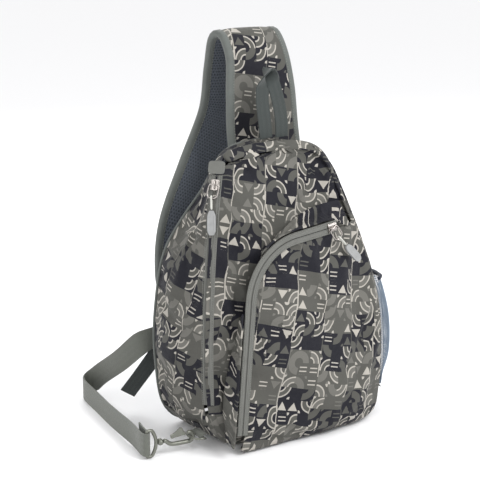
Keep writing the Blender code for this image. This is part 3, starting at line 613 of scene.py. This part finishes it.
# %% The body's panels
panel("front_panel", "front_cloth", forwards, lambda p: (p.x, p.z), pressure=0.9, cap=6 * MM,
      reach=9 * MM, sink=1.2 * MM,
      dents=[([(48, -30, 284), (40, -33, 262)], 9, 6), ([(30, -36, 252), (16, -42, 240)], 6, 7),
             ([(16, -42, 240), (-30, -46, 208)], 4, 4), ([(-82, -48, 120), (-68, -46, 170)], 5, 3),
             ([(62, -32, 272), (70, -36, 246)], 6, -3),
             ([(-20, -40, 250), (8, -38, 262)], 12, -2.5), ([(-60, -38, 250), (-44, -42, 222)], 8, 2)])
panel("left_gusset", "left_cloth", from_inside, lambda p: (-p.y + 0.013, p.z + 0.01), levels=2,
      dents=[([(-84, 0, 262), (-100, -10, 215)], 6, 3), ([(-112, 20, 150), (-116, -12, 128)], 7, 3),
             ([(-112, -20, 90), (-114, 26, 70)], 8, 3.5), ([(-106, 10, 40), (-100, -26, 34)], 6, 3)])
panel("right_gusset", "right_cloth", from_inside, lambda p: (p.y + 0.02, p.z), levels=2)
panel("top_panel", "top_cloth", from_inside, lambda p: (p.x, p.y + p.z), levels=2, cap=3 * MM)
panel("base_panel", "base_cloth", from_inside, lambda p: (p.x, p.y), levels=1, pressure=0.0, grow=0.0,
      crumple=0.0, cap=0.5 * MM, sink=0.3 * MM, strip=True)

# %% The front pocket
panel("pocket_face", "pocket_cloth", forwards, lambda p: (p.x + 0.006, p.z), levels=2, sink=1.6 * MM,
      pressure=1.5, cap=7 * MM,
      dents=[([(92, -60, 200), (70, -70, 182)], 8, 3), ([(104, -60, 120), (84, -70, 96)], 9, 3),
             ([(-50, -76, 30), (-20, -77, 22)], 8, 2.5), ([(20, -77, 60), (60, -76, 48)], 12, -2.5),
             ([(-52, -70, 150), (-30, -68, 196)], 7, 2), ([(52, -70, 200), (6, -72, 196)], 12, 2)])
panel("pocket_border", "pocket_wall_cloth",
      lambda c: Vector((-0.5, -0.62, 0.6)).normalized(), lambda p: (p.x - p.y * 0.8, p.z - p.y * 0.5),
      levels=3, reach=1.6 * MM, sink=0.8 * MM, cap=3 * MM, crumple=0.8 * MM, strip=True)
panel("pocket_base", "pocket_base_cloth", lambda c: -Z_AXIS, lambda p: (p.x, p.y), levels=2, grow=0.0,
      pressure=0.0, crumple=0.0, reach=0.6 * MM, sink=0.0, strip=True)

# %% [markdown]
# ## Long flat things: one way to lay them
# Straps, webbing, tapes and bindings are all bands that follow a route. Each is modelled flat: a
# grid whose columns go round the band's cross-section and whose rows go along it. The grid is then
# laid along the route, its first and last columns are welded, and its ends are filled. The flat
# coordinates stay with it as its UV map, so that a weave or a print follows every turn.

# %% Helpers for bands
def smooth_route(points, count):
    """A smooth curve through the points (Catmull-Rom), cut into equal lengths."""
    pts = [Vector(p) for p in points]
    pts = [pts[0] * 2 - pts[1]] + pts + [pts[-1] * 2 - pts[-2]]
    fine = []
    for a, b, c, d in zip(pts, pts[1:], pts[2:], pts[3:]):
        for step in range(12):
            t = step / 12
            fine.append(0.5 * (2 * b + (c - a) * t + (2 * a - 5 * b + 4 * c - d) * t ** 2
                               + (3 * b - a - 3 * c + d) * t ** 3))
    return resample(fine + [pts[-2].copy()], count)


def resample(points, count):
    table = np.array([tuple(p) for p in points])
    run = np.concatenate(([0], np.cumsum(np.linalg.norm(np.diff(table, axis=0), axis=1))))
    at = np.linspace(0, run[-1], count)
    return [Vector([np.interp(a, run, table[:, k]) for k in range(table.shape[1])]) for a in at]


def stations(path, across):
    """Middle, side and outward directions, and the length so far, at each point of a route."""
    ends = [path[0]] + list(path) + [path[-1]]
    found, run = [], 0.0
    for i, point in enumerate(path):
        ahead = (ends[i + 2] - ends[i]).normalized()
        side = (across[i] - ahead * across[i].dot(ahead)).normalized()
        run += (point - path[i - 1]).length if i else 0.0
        found.append((point, side, ahead.cross(side), run))
    return found


def band(name, places, section, shift_u=0.0, shift_v=0.0):
    """A closed band: section(i) gives its outline at station i as (aside, lift) pairs."""
    count = len(section(0))
    bpy.ops.object.select_all(action="DESELECT")
    bpy.ops.mesh.primitive_grid_add(x_subdivisions=count, y_subdivisions=len(places) - 1, size=1)
    piece = bpy.context.object
    piece.name = name
    lines = [list(section(i)) for i in range(len(places))]
    layer = piece.data.uv_layers.active
    layer.name = "cloth"
    where, flat = {}, {}
    for vert in piece.data.vertices:
        column = round((vert.co.x + 0.5) * count)
        row = round((vert.co.y + 0.5) * (len(places) - 1))
        middle, side, out, run = places[row]
        aside, lift = lines[row][column % count]
        where[vert.index] = middle + side * aside + out * lift
        flat[vert.index] = (aside + shift_u, run + shift_v)
    for loop in piece.data.loops:
        layer.data[loop.index].uv = flat[loop.vertex_index]
    for vert in piece.data.vertices:
        vert.co = where[vert.index]
    only(piece)
    bpy.ops.object.mode_set(mode="EDIT")
    bpy.ops.mesh.select_all(action="SELECT")
    bpy.ops.mesh.remove_doubles(threshold=0.000004)
    bpy.ops.mesh.select_all(action="DESELECT")
    bpy.ops.mesh.select_non_manifold()
    bpy.ops.mesh.edge_face_add()
    bpy.ops.mesh.select_all(action="SELECT")
    bpy.ops.mesh.normals_make_consistent(inside=False)
    bpy.ops.object.mode_set(mode="OBJECT")
    return piece


def flat_section(width, thick, columns=8, rise=lambda s: 0.0, both=False):
    """A band's outline: a flat strip with rounded edges; rise lifts its outer side."""
    half, edge = width / 2, thick / 2
    across = np.linspace(-1, 1, columns)
    outer = [(s * (half - edge * 0.5), edge + rise(s)) for s in across]
    inner = [(s * (half - edge * 0.5), -edge - (rise(s) if both else 0.0)) for s in across[::-1]]
    return outer + [(half, 0.0)] + inner + [(-half, 0.0)]


def round_section(width, thick, count=14, flatness=3.0):
    """A soft cushion-like outline: between an oval and a rectangle."""
    found = []
    for turn in np.linspace(0, 2 * pi, count, endpoint=False):
        c, s = cos(turn), sin(turn)
        found.append((width / 2 * np.sign(c) * abs(c) ** (2 / flatness),
                      thick / 2 * np.sign(s) * abs(s) ** (2 / flatness)))
    return found


# %% [markdown]
# ## Stitches
# A row of stitches is what tells the eye that two layers are sewn. One stitch is a short thread
# with rounded ends that dips at both ends. It is modelled once from a small sphere, then copied
# along each seam, and each row is joined into one piece.

# %% Stitch helpers
def model_stitch():
    bpy.ops.object.select_all(action="DESELECT")
    bpy.ops.mesh.primitive_uv_sphere_add(segments=6, ring_count=4, radius=0.5, location=(0, 0, 0))
    stitch = bpy.context.object
    bpy.ops.object.mode_set(mode="EDIT")
    bpy.ops.mesh.select_all(action="SELECT")
    bpy.ops.transform.resize(value=(1.0, 0.30, 0.34), center_override=(0, 0, 0))
    bpy.ops.object.mode_set(mode="OBJECT")
    return stitch


STITCH = model_stitch()


def sew(name, places, body="bag", slot="binding", length=2.3 * MM, pitch=3.0 * MM, finish=None):
    """Stitches along a line of (point, out) pairs."""
    points = [p for p, _ in places]
    run = np.concatenate(([0], np.cumsum([(b - a).length for a, b in zip(points, points[1:])])))
    table, outs = np.array([tuple(p) for p in points]), np.array([tuple(o) for _, o in places])
    corners = np.array([v.co[:] for v in STITCH.data.vertices]) * length
    shapes = [list(f.vertices) for f in STITCH.data.polygons]
    verts, faces = [], []
    for at in np.arange(pitch / 2, run[-1], pitch):
        middle = Vector([np.interp(at, run, table[:, k]) for k in range(3)])
        ahead = Vector([np.interp(at + 0.0005, run, table[:, k]) - np.interp(at - 0.0005, run, table[:, k])
                        for k in range(3)]).normalized()
        out = Vector([np.interp(at, run, outs[:, k]) for k in range(3)])
        out = (out - ahead * out.dot(ahead)).normalized()
        turn = np.array((ahead, out.cross(ahead), out))
        faces += [[len(verts) + i for i in shape] for shape in shapes]
        verts += [tuple(v) for v in corners @ turn + np.array(middle)]
    mesh = bpy.data.meshes.new(name)
    mesh.from_pydata(verts, [], faces)
    piece = bpy.data.objects.new(name, mesh)
    bpy.context.scene.collection.objects.link(piece)
    return settle(piece, name, finish or THREAD, body, slot, angle=80)


# %% [markdown]
# ## The padded strap
# The strap is a sandwich: printed cloth outside, foam, and air mesh on the wearer's side, with a
# grosgrain binding folded over both long edges. The cover and the mesh swell between the bindings,
# because the foam pushes them out. It rises behind the handle, turns over and crosses to the left.

# %% Strap route and layers
STRAP_ROUTE = [(16, 20, 275, 92), (16, 25, 298, 91), (15, 28, 322, 90), (13, 29, 360, 86), (11, 33, 395, 78),
               (9, 46, 416, 76), (8, 62, 412, 76), (9, 73, 380, 76), (5, 80, 325, 76),
               (-22, 82, 262, 76), (-48, 80, 205, 74), (-60, 78, 160, 62), (-64, 78, 132, 44)]
BINDING_WIDE, BINDING_DEEP = 8.4 * MM, 7.9 * MM
packed = smooth_route([Vector(p) * MM for p in STRAP_ROUTE], 110)
strap_path = [Vector(p[:3]) for p in packed]
strap_wide = [p[3] for p in packed]
strap_places = stations(strap_path, [X_AXIS] * len(strap_path))


def strap_layer(name, node, lift, swell, finish, slot):
    """One layer: a thin sheet that swells away from the foam between the bindings."""
    sign = -1 if lift < 0 else 1

    def section(i):
        half = strap_wide[i] / 2 - BINDING_WIDE + 1.5 * MM
        wave_in = 0.25 * MM * sin(i * 1.3) + 0.2 * MM * sin(i * 0.47 + 1)
        outer = [(s * half, lift + sign * (swell * (1 - s ** 4) + wave_in * (1 - s * s) - 0.3 * MM))
                 for s in np.linspace(-1, 1, 15)]
        inner = [(s * half, lift - sign * 0.9 * MM) for s in np.linspace(1, -1, 5)]
        return outer + inner

    piece = band(name, strap_places, section, shift_u=0.018)
    only(piece)
    settle(piece, name, finish, "bag", slot, node, angle=60)
    return piece


strap_layer("strap_print", "strap_cover", -3.4 * MM, 1.7 * MM, PRINT, "printed_fabric")
strap_layer("strap_air_mesh", "strap_mesh", 3.4 * MM, 1.7 * MM, AIR_MESH, "air_mesh")
for node, sign in (("strap_binding_left", -1), ("strap_binding_right", 1)):
    def edge_section(i, sign=sign):
        middle = sign * (strap_wide[i] - BINDING_WIDE) / 2
        return [(middle + a, b) for a, b in round_section(BINDING_WIDE, BINDING_DEEP, 16, 3.2)]
    piece = band(node + "_tape", strap_places, edge_section)
    settle(piece, node + "_tape", GROSGRAIN, "bag", "binding", node, angle=70)
    for face, lift in (("outer", -BINDING_DEEP / 2), ("inner", BINDING_DEEP / 2)):
        aside = -sign * 2.2 * MM
        line = [(p + side * (sign * (wide - BINDING_WIDE) / 2 + aside) + out * lift, out * (lift / abs(lift)))
                for (p, side, out, run), wide in zip(strap_places, strap_wide)]
        sew(f"{node}_{face}_stitches", line, length=1.8 * MM, pitch=2.9 * MM)
print("strap is", round(strap_places[-1][3] / MM), "mm long")

# %% [markdown]
# ## Webbing: the lower strap, its tail and the handle
# The lower strap is 25 mm webbing. It leaves the adjuster, falls to the floor, and comes forward to
# the hook, where it turns round the hook's bar and is sewn back on itself. Its spare end hangs as a
# tail. The handle is a loop whose ends are sewn side by side, so it folds to a point at its top.

# %% Webbing bands
LOWER_ROUTE = [(-67, 79.5, 99), (-73, 80, 93), (-88, 82, 88), (-104, 88, 82), (-115, 116, 56),
               (-119, 154, 30), (-124, 170, 16), (-132, 171, 13.6), (-140, 156, 13.6),
               (-147, 112, 13.6), (-154, 66, 13.6), (-160, 16, 14.2), (-165, -8, 15.4), (-168.2, -20, 16)]
HOOK_BAR = Vector((-165, -25.8, 16)) * MM
lower = smooth_route([Vector(p) * MM for p in LOWER_ROUTE], 56)
lower += [HOOK_BAR + Vector((cos(t), sin(t), 0)) * 3.2 * MM for t in np.linspace(pi, 1.95 * pi, 9)]
lower += [Vector(p) * MM for p in ((-161, -20, 16), (-158.6, -8, 15.6), (-154.6, 6, 14.9))]
lower_across = [-Z_AXIS + X_AXIS * max(0.0, 1.2 - i / 5) for i in range(len(lower))]
lower_places = stations(lower, lower_across)
ribs = flat_section(25 * MM, 1.5 * MM, 10)
settle(band("lower_strap", lower_places, lambda i: ribs), "lower_strap", WEBBING, "bag", "webbing",
       "lower_webbing", angle=50)

TAIL_ROUTE = [(-64, 86, 104), (-70, 87, 90), (-80, 88, 72), (-97, 93, 48), (-116, 100, 22)]
tail = smooth_route([Vector(p) * MM for p in TAIL_ROUTE], 24)
tail_section = flat_section(23 * MM, 1.5 * MM, 10)
# the tail's webbing is the darker copy: painted shade
settle(band("tail", stations(tail, [X_AXIS] * len(tail)), lambda i: tail_section), "tail", SHADE_PAINTED_WEBBING,
       "bag", "webbing", "webbing_tail", angle=50)

HANDLE_ROUTE = [(-2, -3, 312), (-4, -3, 330), (-7, -3, 352), (-6, -3, 370), (0, -3, 385),
                (5, -3, 373), (12, -3, 354), (17, -3, 332), (18, -3, 312)]
loop_path = smooth_route([Vector(p) * MM for p in HANDLE_ROUTE], 64)
loop_turn = [pi * max(0.0, min(1.0, (i - 22) / 17)) for i in range(64)]
loop_across = [X_AXIS * cos(turn) + Y_AXIS * sin(turn) for turn in loop_turn]
loop_section = flat_section(16 * MM, 1.5 * MM, 10)
# the handle's webbing is the darker copy: painted shade
settle(band("handle_loop", stations(loop_path, loop_across), lambda i: loop_section), "handle_loop",
       SHADE_PAINTED_WEBBING, "handle", "webbing", "grab_handle", angle=50)
print("lower strap", round(lower_places[-1][3] / MM), "mm of webbing")

# %% [markdown]
# ## Zips
# Both zips are worn with their teeth inwards, so what shows is two halves of knitted tape with a
# dark slot between them. Lengthwise cords in the knit catch the light as fine ridges, so each half
# gets them as real relief. The main zip follows the arc that its slider turns about; the pocket's
# zip goes up a leg, round a corner and along a straight run.

# %% Zip routes
TAPE_HALF_WIDE, TAPE_SLOT = 6.2 * MM, 0.5 * MM
slide = JOINTS["main_zip_slide"]
centre, axle = Vector(slide["pos_m"]), Vector(slide["axis"]).normalized()
tape_points = [v.co - centre for v in frame["nodes"]["main_zip_tape_outer"].data.vertices]
tape_points = [p - axle * p.dot(axle) for p in tape_points]
first_way = min(tape_points, key=lambda p: p.z).normalized()
turns = [asin(max(-1.0, min(1.0, first_way.cross(p.normalized()).dot(axle)))) for p in tape_points]
arc_radius = float(np.mean([p.length for p in tape_points]))
arc_turn = max(turns, key=abs)
main_outs = [Matrix.Rotation(arc_turn * i / 59, 3, axle) @ first_way for i in range(60)]
main_path = [centre + out * arc_radius for out in main_outs]
print("main zip: arc of", round(arc_radius, 3), "m, turn", round(arc_turn, 3))

LEAN = radians(4)
POCKET_UP, POCKET_OUT = Vector((0, sin(LEAN), cos(LEAN))), Vector((0, -cos(LEAN), sin(LEAN)))
CORNER_AT, CORNER_RADIUS = (0.7 * MM, 152.6 * MM), 66 * MM
LEG_LOOKS, RUN_LOOKS = radians(172.8), radians(96.5)
LEG_LENGTH, RUN_LENGTH = 138 * MM, 53 * MM


def on_pocket(x, height, out=0.0):
    return Vector((x, -79 * MM, 0)) + POCKET_UP * height + POCKET_OUT * out


def zip_line(beside=0.0, out=0.0):
    """Up the leg, round the corner and along the run, beside the zip's middle."""
    radius = CORNER_RADIUS + beside
    cx, ch = CORNER_AT
    flat = []
    for down in np.linspace(LEG_LENGTH, 0, 30)[:-1]:
        flat.append((cx + radius * cos(LEG_LOOKS) - down * sin(LEG_LOOKS),
                     ch + radius * sin(LEG_LOOKS) + down * cos(LEG_LOOKS)))
    for turn in np.linspace(LEG_LOOKS, RUN_LOOKS, 14)[:-1]:
        flat.append((cx + radius * cos(turn), ch + radius * sin(turn)))
    for along in np.linspace(0, RUN_LENGTH, 18):
        flat.append((cx + radius * cos(RUN_LOOKS) + along * sin(RUN_LOOKS),
                     ch + radius * sin(RUN_LOOKS) - along * cos(RUN_LOOKS)))
    return [on_pocket(x, h, out) for x, h in flat]


# %% Tapes and coils
def knit_rise(s):
    """Three cords along the tape, with a smooth edge by the slot."""
    return 0.55 * MM * max(0.0, cos(s * 2 * pi)) ** 0.7 if abs(s) < 0.96 else 0.0


def model_zip(name, path, outs, turned):
    ends = [path[0]] + list(path) + [path[-1]]
    across = [(b - a).normalized().cross(o) for a, b, o in zip(ends, ends[2:], outs)]
    places = stations(path, across)
    for side, sign in (("inner", 1), ("outer", -1)):
        shape = flat_section(TAPE_HALF_WIDE, 1.0 * MM, 25, knit_rise)
        offset = sign * (TAPE_HALF_WIDE + TAPE_SLOT) / 2
        section = [(a + offset, turned * b) for a, b in shape]
        piece = band(f"{name}_{side}_knit", places, lambda i: section)
        settle(piece, f"{name}_{side}_knit", TAPE, "bag", "zip_tape", f"{name}_tape_{side}", angle=50)
        edge = sign * (TAPE_SLOT / 2 + TAPE_HALF_WIDE - 1.2 * MM)
        line = [(p + s * edge + out * turned * 0.75 * MM, out * turned) for p, s, out, _ in places]
        sew(f"{name}_{side}_stitches", line, slot="zip_tape", length=1.5 * MM, pitch=2.5 * MM)
        coil = frame["nodes"][f"{name}_coil_{side}"]
        coil.data.materials.clear()
        coil.data.materials.append(COIL)


model_zip("main_zip", main_path, main_outs, -1)
pocket_path = zip_line()
model_zip("pocket_zip", pocket_path, [POCKET_OUT] * len(pocket_path), -1)

# %% [markdown]
# ## Metal and moulded pieces that keep their frame shape
# The bail, links, cords, hook, ring and adjuster are already the right shape in the frame, only
# with flat sides. A copy with one or two levels of subdivision, on a few pieces after a small bevel
# of their edges, has the soft edges of a casting.

# %% Softened copies
def softened(node, finish, body, slot, bevel=0.35 * MM, levels=2, flat=None, angle=40, grow=0.0):
    piece = copy_of(node, node + "_made")
    only(piece)
    if bevel:
        modify(piece, "BEVEL", width=bevel, segments=2, limit_method="ANGLE", angle_limit=radians(35))
    modify(piece, "SUBSURF", levels=levels)
    if grow:
        modify(piece, "DISPLACE", strength=grow, mid_level=0.0)
    if flat:
        lay_flat(piece, flat)
    return settle(piece, node + "_made", finish, body, slot, node, angle=angle)


for zip_name in ("main", "pocket"):
    softened(f"{zip_name}_bail", NICKEL, f"{zip_name}_slider", "nickel", bevel=0, levels=2, angle=80)
    softened(f"{zip_name}_link", NICKEL, f"{zip_name}_link", "nickel", bevel=0, levels=2, angle=80)
    softened(f"{zip_name}_cord", CORD, f"{zip_name}_pull", "pull_cord", bevel=0, levels=2, angle=80)
for node, body, grow in (("hook_eye", "bag", 0.7), ("hook_collar", "bag", 0.7), ("hook_body", "hook", 0.45),
                         ("d_ring", "ring", 0.0)):
    softened(node, OLIVE_METAL, body, "hook_metal", bevel=0, levels=2, angle=80, grow=grow * MM)
softened("hook_gate", OLIVE_METAL, "gate", "hook_metal", bevel=0.3 * MM, levels=2, angle=60, grow=0.2 * MM)
softened("strap_adjuster", PLASTIC, "bag", "plastic", bevel=0.5 * MM, levels=1)
softened("ring_tab", WEBBING, "bag", "webbing", bevel=0, levels=2, flat=lambda p: (p.y, p.z - p.x))
softened("zip_hood", TAPE, "bag", "zip_tape", bevel=0.6 * MM, levels=2, angle=60)
softened("back_piping", GROSGRAIN, "bag", "binding", bevel=0, levels=1, angle=80)
softened("side_mesh_seam", GROSGRAIN, "bag", "binding", bevel=0, levels=1, angle=80)

# %% [markdown]
# ## Sliders and soft grips
# A slider's top is a small dome, pinched where the bail stands. The grip is a moulded paddle with a
# shallow panel on both faces for a thumb.

# %% Sliders and grips
def axes_of(joint, towards):
    """A placement on a joint: Z along its axle, X towards a point, level with the axle."""
    z = Vector(joint["axis"]).normalized()
    origin = Vector(joint["pos_m"])
    x = towards - origin
    x = (x - z * x.dot(z)).normalized()
    place = Matrix((x, z.cross(x), z)).transposed().to_4x4()
    place.translation = origin
    return place


def middle_of(node):
    low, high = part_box(node)
    return (Vector(low) + Vector(high)) / 2


def pick(piece, test):
    """Selects the faces whose middle and normal pass the test, in edit mode."""
    only(piece)
    bpy.ops.object.mode_set(mode="OBJECT")
    for part in list(piece.data.vertices) + list(piece.data.edges):
        part.select = False
    for face in piece.data.polygons:
        face.select = bool(test(face.center, face.normal))
    bpy.ops.object.mode_set(mode="EDIT")
    bpy.ops.mesh.select_mode(type="FACE")


def divided_block(sides, cuts):
    """A block with these sides in millimetres, cut into smaller faces for shaping."""
    bpy.ops.object.select_all(action="DESELECT")
    bpy.ops.mesh.primitive_cube_add(size=1, location=(0, 0, 0))
    piece = bpy.context.object
    piece.data.transform(Matrix.Diagonal((*(side * MM for side in sides), 1)))
    only(piece)
    bpy.ops.object.mode_set(mode="EDIT")
    bpy.ops.mesh.select_all(action="SELECT")
    bpy.ops.mesh.subdivide(number_cuts=cuts)
    bpy.ops.object.mode_set(mode="OBJECT")
    return piece


def model_slider(name, out, along):
    """A domed plate in its own axes (X along the zip, Z out), then put in place."""
    at = middle_of(f"{name}_slider") + out * 1.2 * MM
    piece = divided_block((10.5, 9.0, 2.2), 3)
    for vert in piece.data.vertices:
        x, y, z = vert.co / MM
        waist = 1 - 0.16 * cos(x / 5.25 * pi) if abs(y) > 2 else 1
        dome = 1.1 * (1 - (x / 6.2) ** 2) * (1 - (y / 5.4) ** 2) if z > 0.9 else 0
        vert.co = Vector((x, y * waist, z + dome)) * MM
    modify(piece, "BEVEL", width=0.5 * MM, segments=2, limit_method="ANGLE", angle_limit=radians(40))
    modify(piece, "SUBSURF", levels=2)
    x = (along - out * along.dot(out)).normalized()
    place = Matrix((x, out.cross(x), out)).transposed().to_4x4()
    place.translation = at
    piece.data.transform(place)
    settle(piece, f"{name}_slider_cap", NICKEL, f"{name}_slider", "nickel", angle=50)
    node = frame["nodes"][f"{name}_slider"]
    node.data.materials.clear()
    node.data.materials.append(NICKEL)


def model_grip(name):
    joint = JOINTS[f"{name}_pull_flip"]
    place = axes_of(joint, middle_of(f"{name}_grip"))
    far = (middle_of(f"{name}_grip") - place.translation).length
    piece = divided_block((25, 3.9, 8.4), 5)
    for vert in piece.data.vertices:
        x, y, z = vert.co / MM
        end = max(0.0, abs(x) - 8.0) / 4.5
        narrow = sqrt(max(0.0, 1 - 0.75 * end ** 2)) * (1 + 0.03 * x / 12)
        vert.co = Vector((x, y * (1 - 0.35 * end ** 2), z * narrow)) * MM
    for side in (1, -1):
        pick(piece, lambda c, n: n.y * side > 0.7 and abs(c.x) < 10 * MM and abs(c.z) < 3 * MM)
        bpy.ops.mesh.inset(thickness=0.5 * MM, depth=-0.35 * MM)
        bpy.ops.object.mode_set(mode="OBJECT")
    modify(piece, "BEVEL", width=0.7 * MM, segments=2, limit_method="ANGLE", angle_limit=radians(50))
    modify(piece, "SUBSURF", levels=2)
    piece.data.transform(place @ Matrix.Translation((far, 0, 0)))
    settle(piece, f"{name}_grip_made", RUBBER, f"{name}_pull", "pull_rubber", f"{name}_grip", angle=60)


zip_out = (middle_of("main_link") - centre)
zip_out = (zip_out - axle * zip_out.dot(axle)).normalized()
model_slider("main", zip_out, axle.cross(zip_out))
model_slider("pocket", POCKET_OUT, Vector(JOINTS["pocket_zip_slide"]["axis"]))
model_grip("main")
model_grip("pocket")

# %% [markdown]
# ## The net side pocket
# The net is knitted thread with open diamonds, and it shows the printed cloth through it. Its frame
# sheet is divided into small squares, each is given a middle point, and the old square edges are
# dissolved, which leaves diamonds. Wireframe turns every edge into thread. The top is gathered in a
# soft elastic hem.

# %% Net and hem
def model_net():
    piece = copy_of("side_mesh", "net")
    outer_side(piece, lambda c: X_AXIS)
    modify(piece, "SUBSURF", levels=2)
    only(piece)
    bpy.ops.object.mode_set(mode="EDIT")
    bpy.ops.mesh.select_all(action="SELECT")
    bpy.ops.object.mode_set(mode="OBJECT")
    area = sum(face.area for face in piece.data.polygons)
    shape = bmesh.new()
    shape.from_mesh(piece.data)
    marks = shape.edges.layers.int.new("square")
    for edge in shape.edges:
        edge[marks] = 0 if edge.is_boundary else 1
    bmesh.ops.poke(shape, faces=shape.faces[:])
    bmesh.ops.dissolve_edges(shape, edges=[e for e in shape.edges if e[marks] == 1], use_verts=False)
    for vert in shape.verts:
        gather = max(0.0, (vert.co.z - 0.118) / 0.028)
        vert.co.x += 0.9 * MM * gather * sin(vert.co.y / MM * 1.15) + 0.4 * MM * sin(vert.co.y * 190)
    shape.to_mesh(piece.data)
    shape.free()
    modify(piece, "WIREFRAME", thickness=0.66 * MM, use_even_offset=False, use_replace=True)
    settle(piece, "net", NET, "bag", "net", "side_mesh", angle=80)
    return piece, area


net, net_area = model_net()
hem = copy_of("side_mesh_hem", "net_hem")
modify(hem, "SUBSURF", levels=3)
for vert in hem.data.vertices:
    pinch = 0.5 * MM * sin(vert.co.y / MM * 2.1) * (0.6 + 0.4 * sin(vert.co.y * 300))
    vert.co.x += pinch
    vert.co.z += pinch * 0.8
settle(hem, "net_hem", HEM, "bag", "net", "side_mesh_hem", angle=80)
print("net has", len(net.data.polygons), "faces,", round(net_area * 1e4), "square cm")

# %% Finishes for the hidden frame parts
for node, finish in (("inner_pocket", LINING), ("back_board", PLASTIC), ("strap_foam", LINING)):
    frame["nodes"][node].data.materials.clear()
    frame["nodes"][node].data.materials.append(finish)

# %% [markdown]
# ## Turned edges and the padded back
# The front panel's edge is turned over a cord in its own cloth, so it reads as a soft roll of the
# same print. The back is one thick pad of foam under air mesh, with two sewn channels down it for
# air. The pad is remeshed, puffed out by a short cloth simulation and then gets its channels.

# %% Front edge roll
def model_front_edge():
    piece = copy_of("front_binding", "front_edge")
    modify(piece, "SUBSURF", levels=2)
    modify(piece, "DISPLACE", strength=1.4 * MM, mid_level=0.0)
    lay_flat(piece, lambda p: (p.x, p.z))
    settle(piece, "front_edge", PRINT, "bag", "printed_fabric", "front_binding", angle=70)
    return piece


model_front_edge()


# %% Back pad
def model_back_pad():
    piece = copy_of("back_pad", "back_cushion")
    modify(piece, "REMESH", mode="VOXEL", voxel_size=4.5 * MM)
    start = np.array([v.co[:] for v in piece.data.vertices])
    only(piece)
    tool = piece.modifiers.new("cloth", "CLOTH")
    tool.settings.use_pressure = True
    tool.settings.uniform_pressure_force = 4
    tool.settings.effector_weights.gravity = 0
    tool.settings.quality = 5
    tool.point_cache.frame_start = 1
    tool.point_cache.frame_end = 14
    for step in range(1, 15):
        bpy.context.scene.frame_set(step)
    bpy.ops.object.modifier_apply(modifier=tool.name)
    cap_move(piece, start, 3.0 * MM)
    bpy.context.scene.frame_set(1)
    modify(piece, "SUBSURF", levels=1)
    piece.data.update()
    for vert in piece.data.vertices:
        if vert.normal.y < 0.2:
            continue
        x, z = vert.co.x, vert.co.z
        groove = max(0.0, 1 - abs(abs(x) - 34 * MM) / (4 * MM))
        fade = min(1.0, max(0.0, (z - 0.03) / 0.02), max(0.0, (0.27 - z) / 0.02))
        vert.co.y -= 2.6 * MM * (3 * groove ** 2 - 2 * groove ** 3) * fade
    lay_flat(piece, lambda p: (p.x, p.z))
    settle(piece, "back_cushion", AIR_MESH, "bag", "air_mesh", "back_pad", angle=70)
    return piece


cushion = model_back_pad()
print("back cushion has", len(cushion.data.polygons), "faces")

# %% Clear the patterns that were only copied from
bpy.data.objects.remove(STITCH, do_unlink=True)
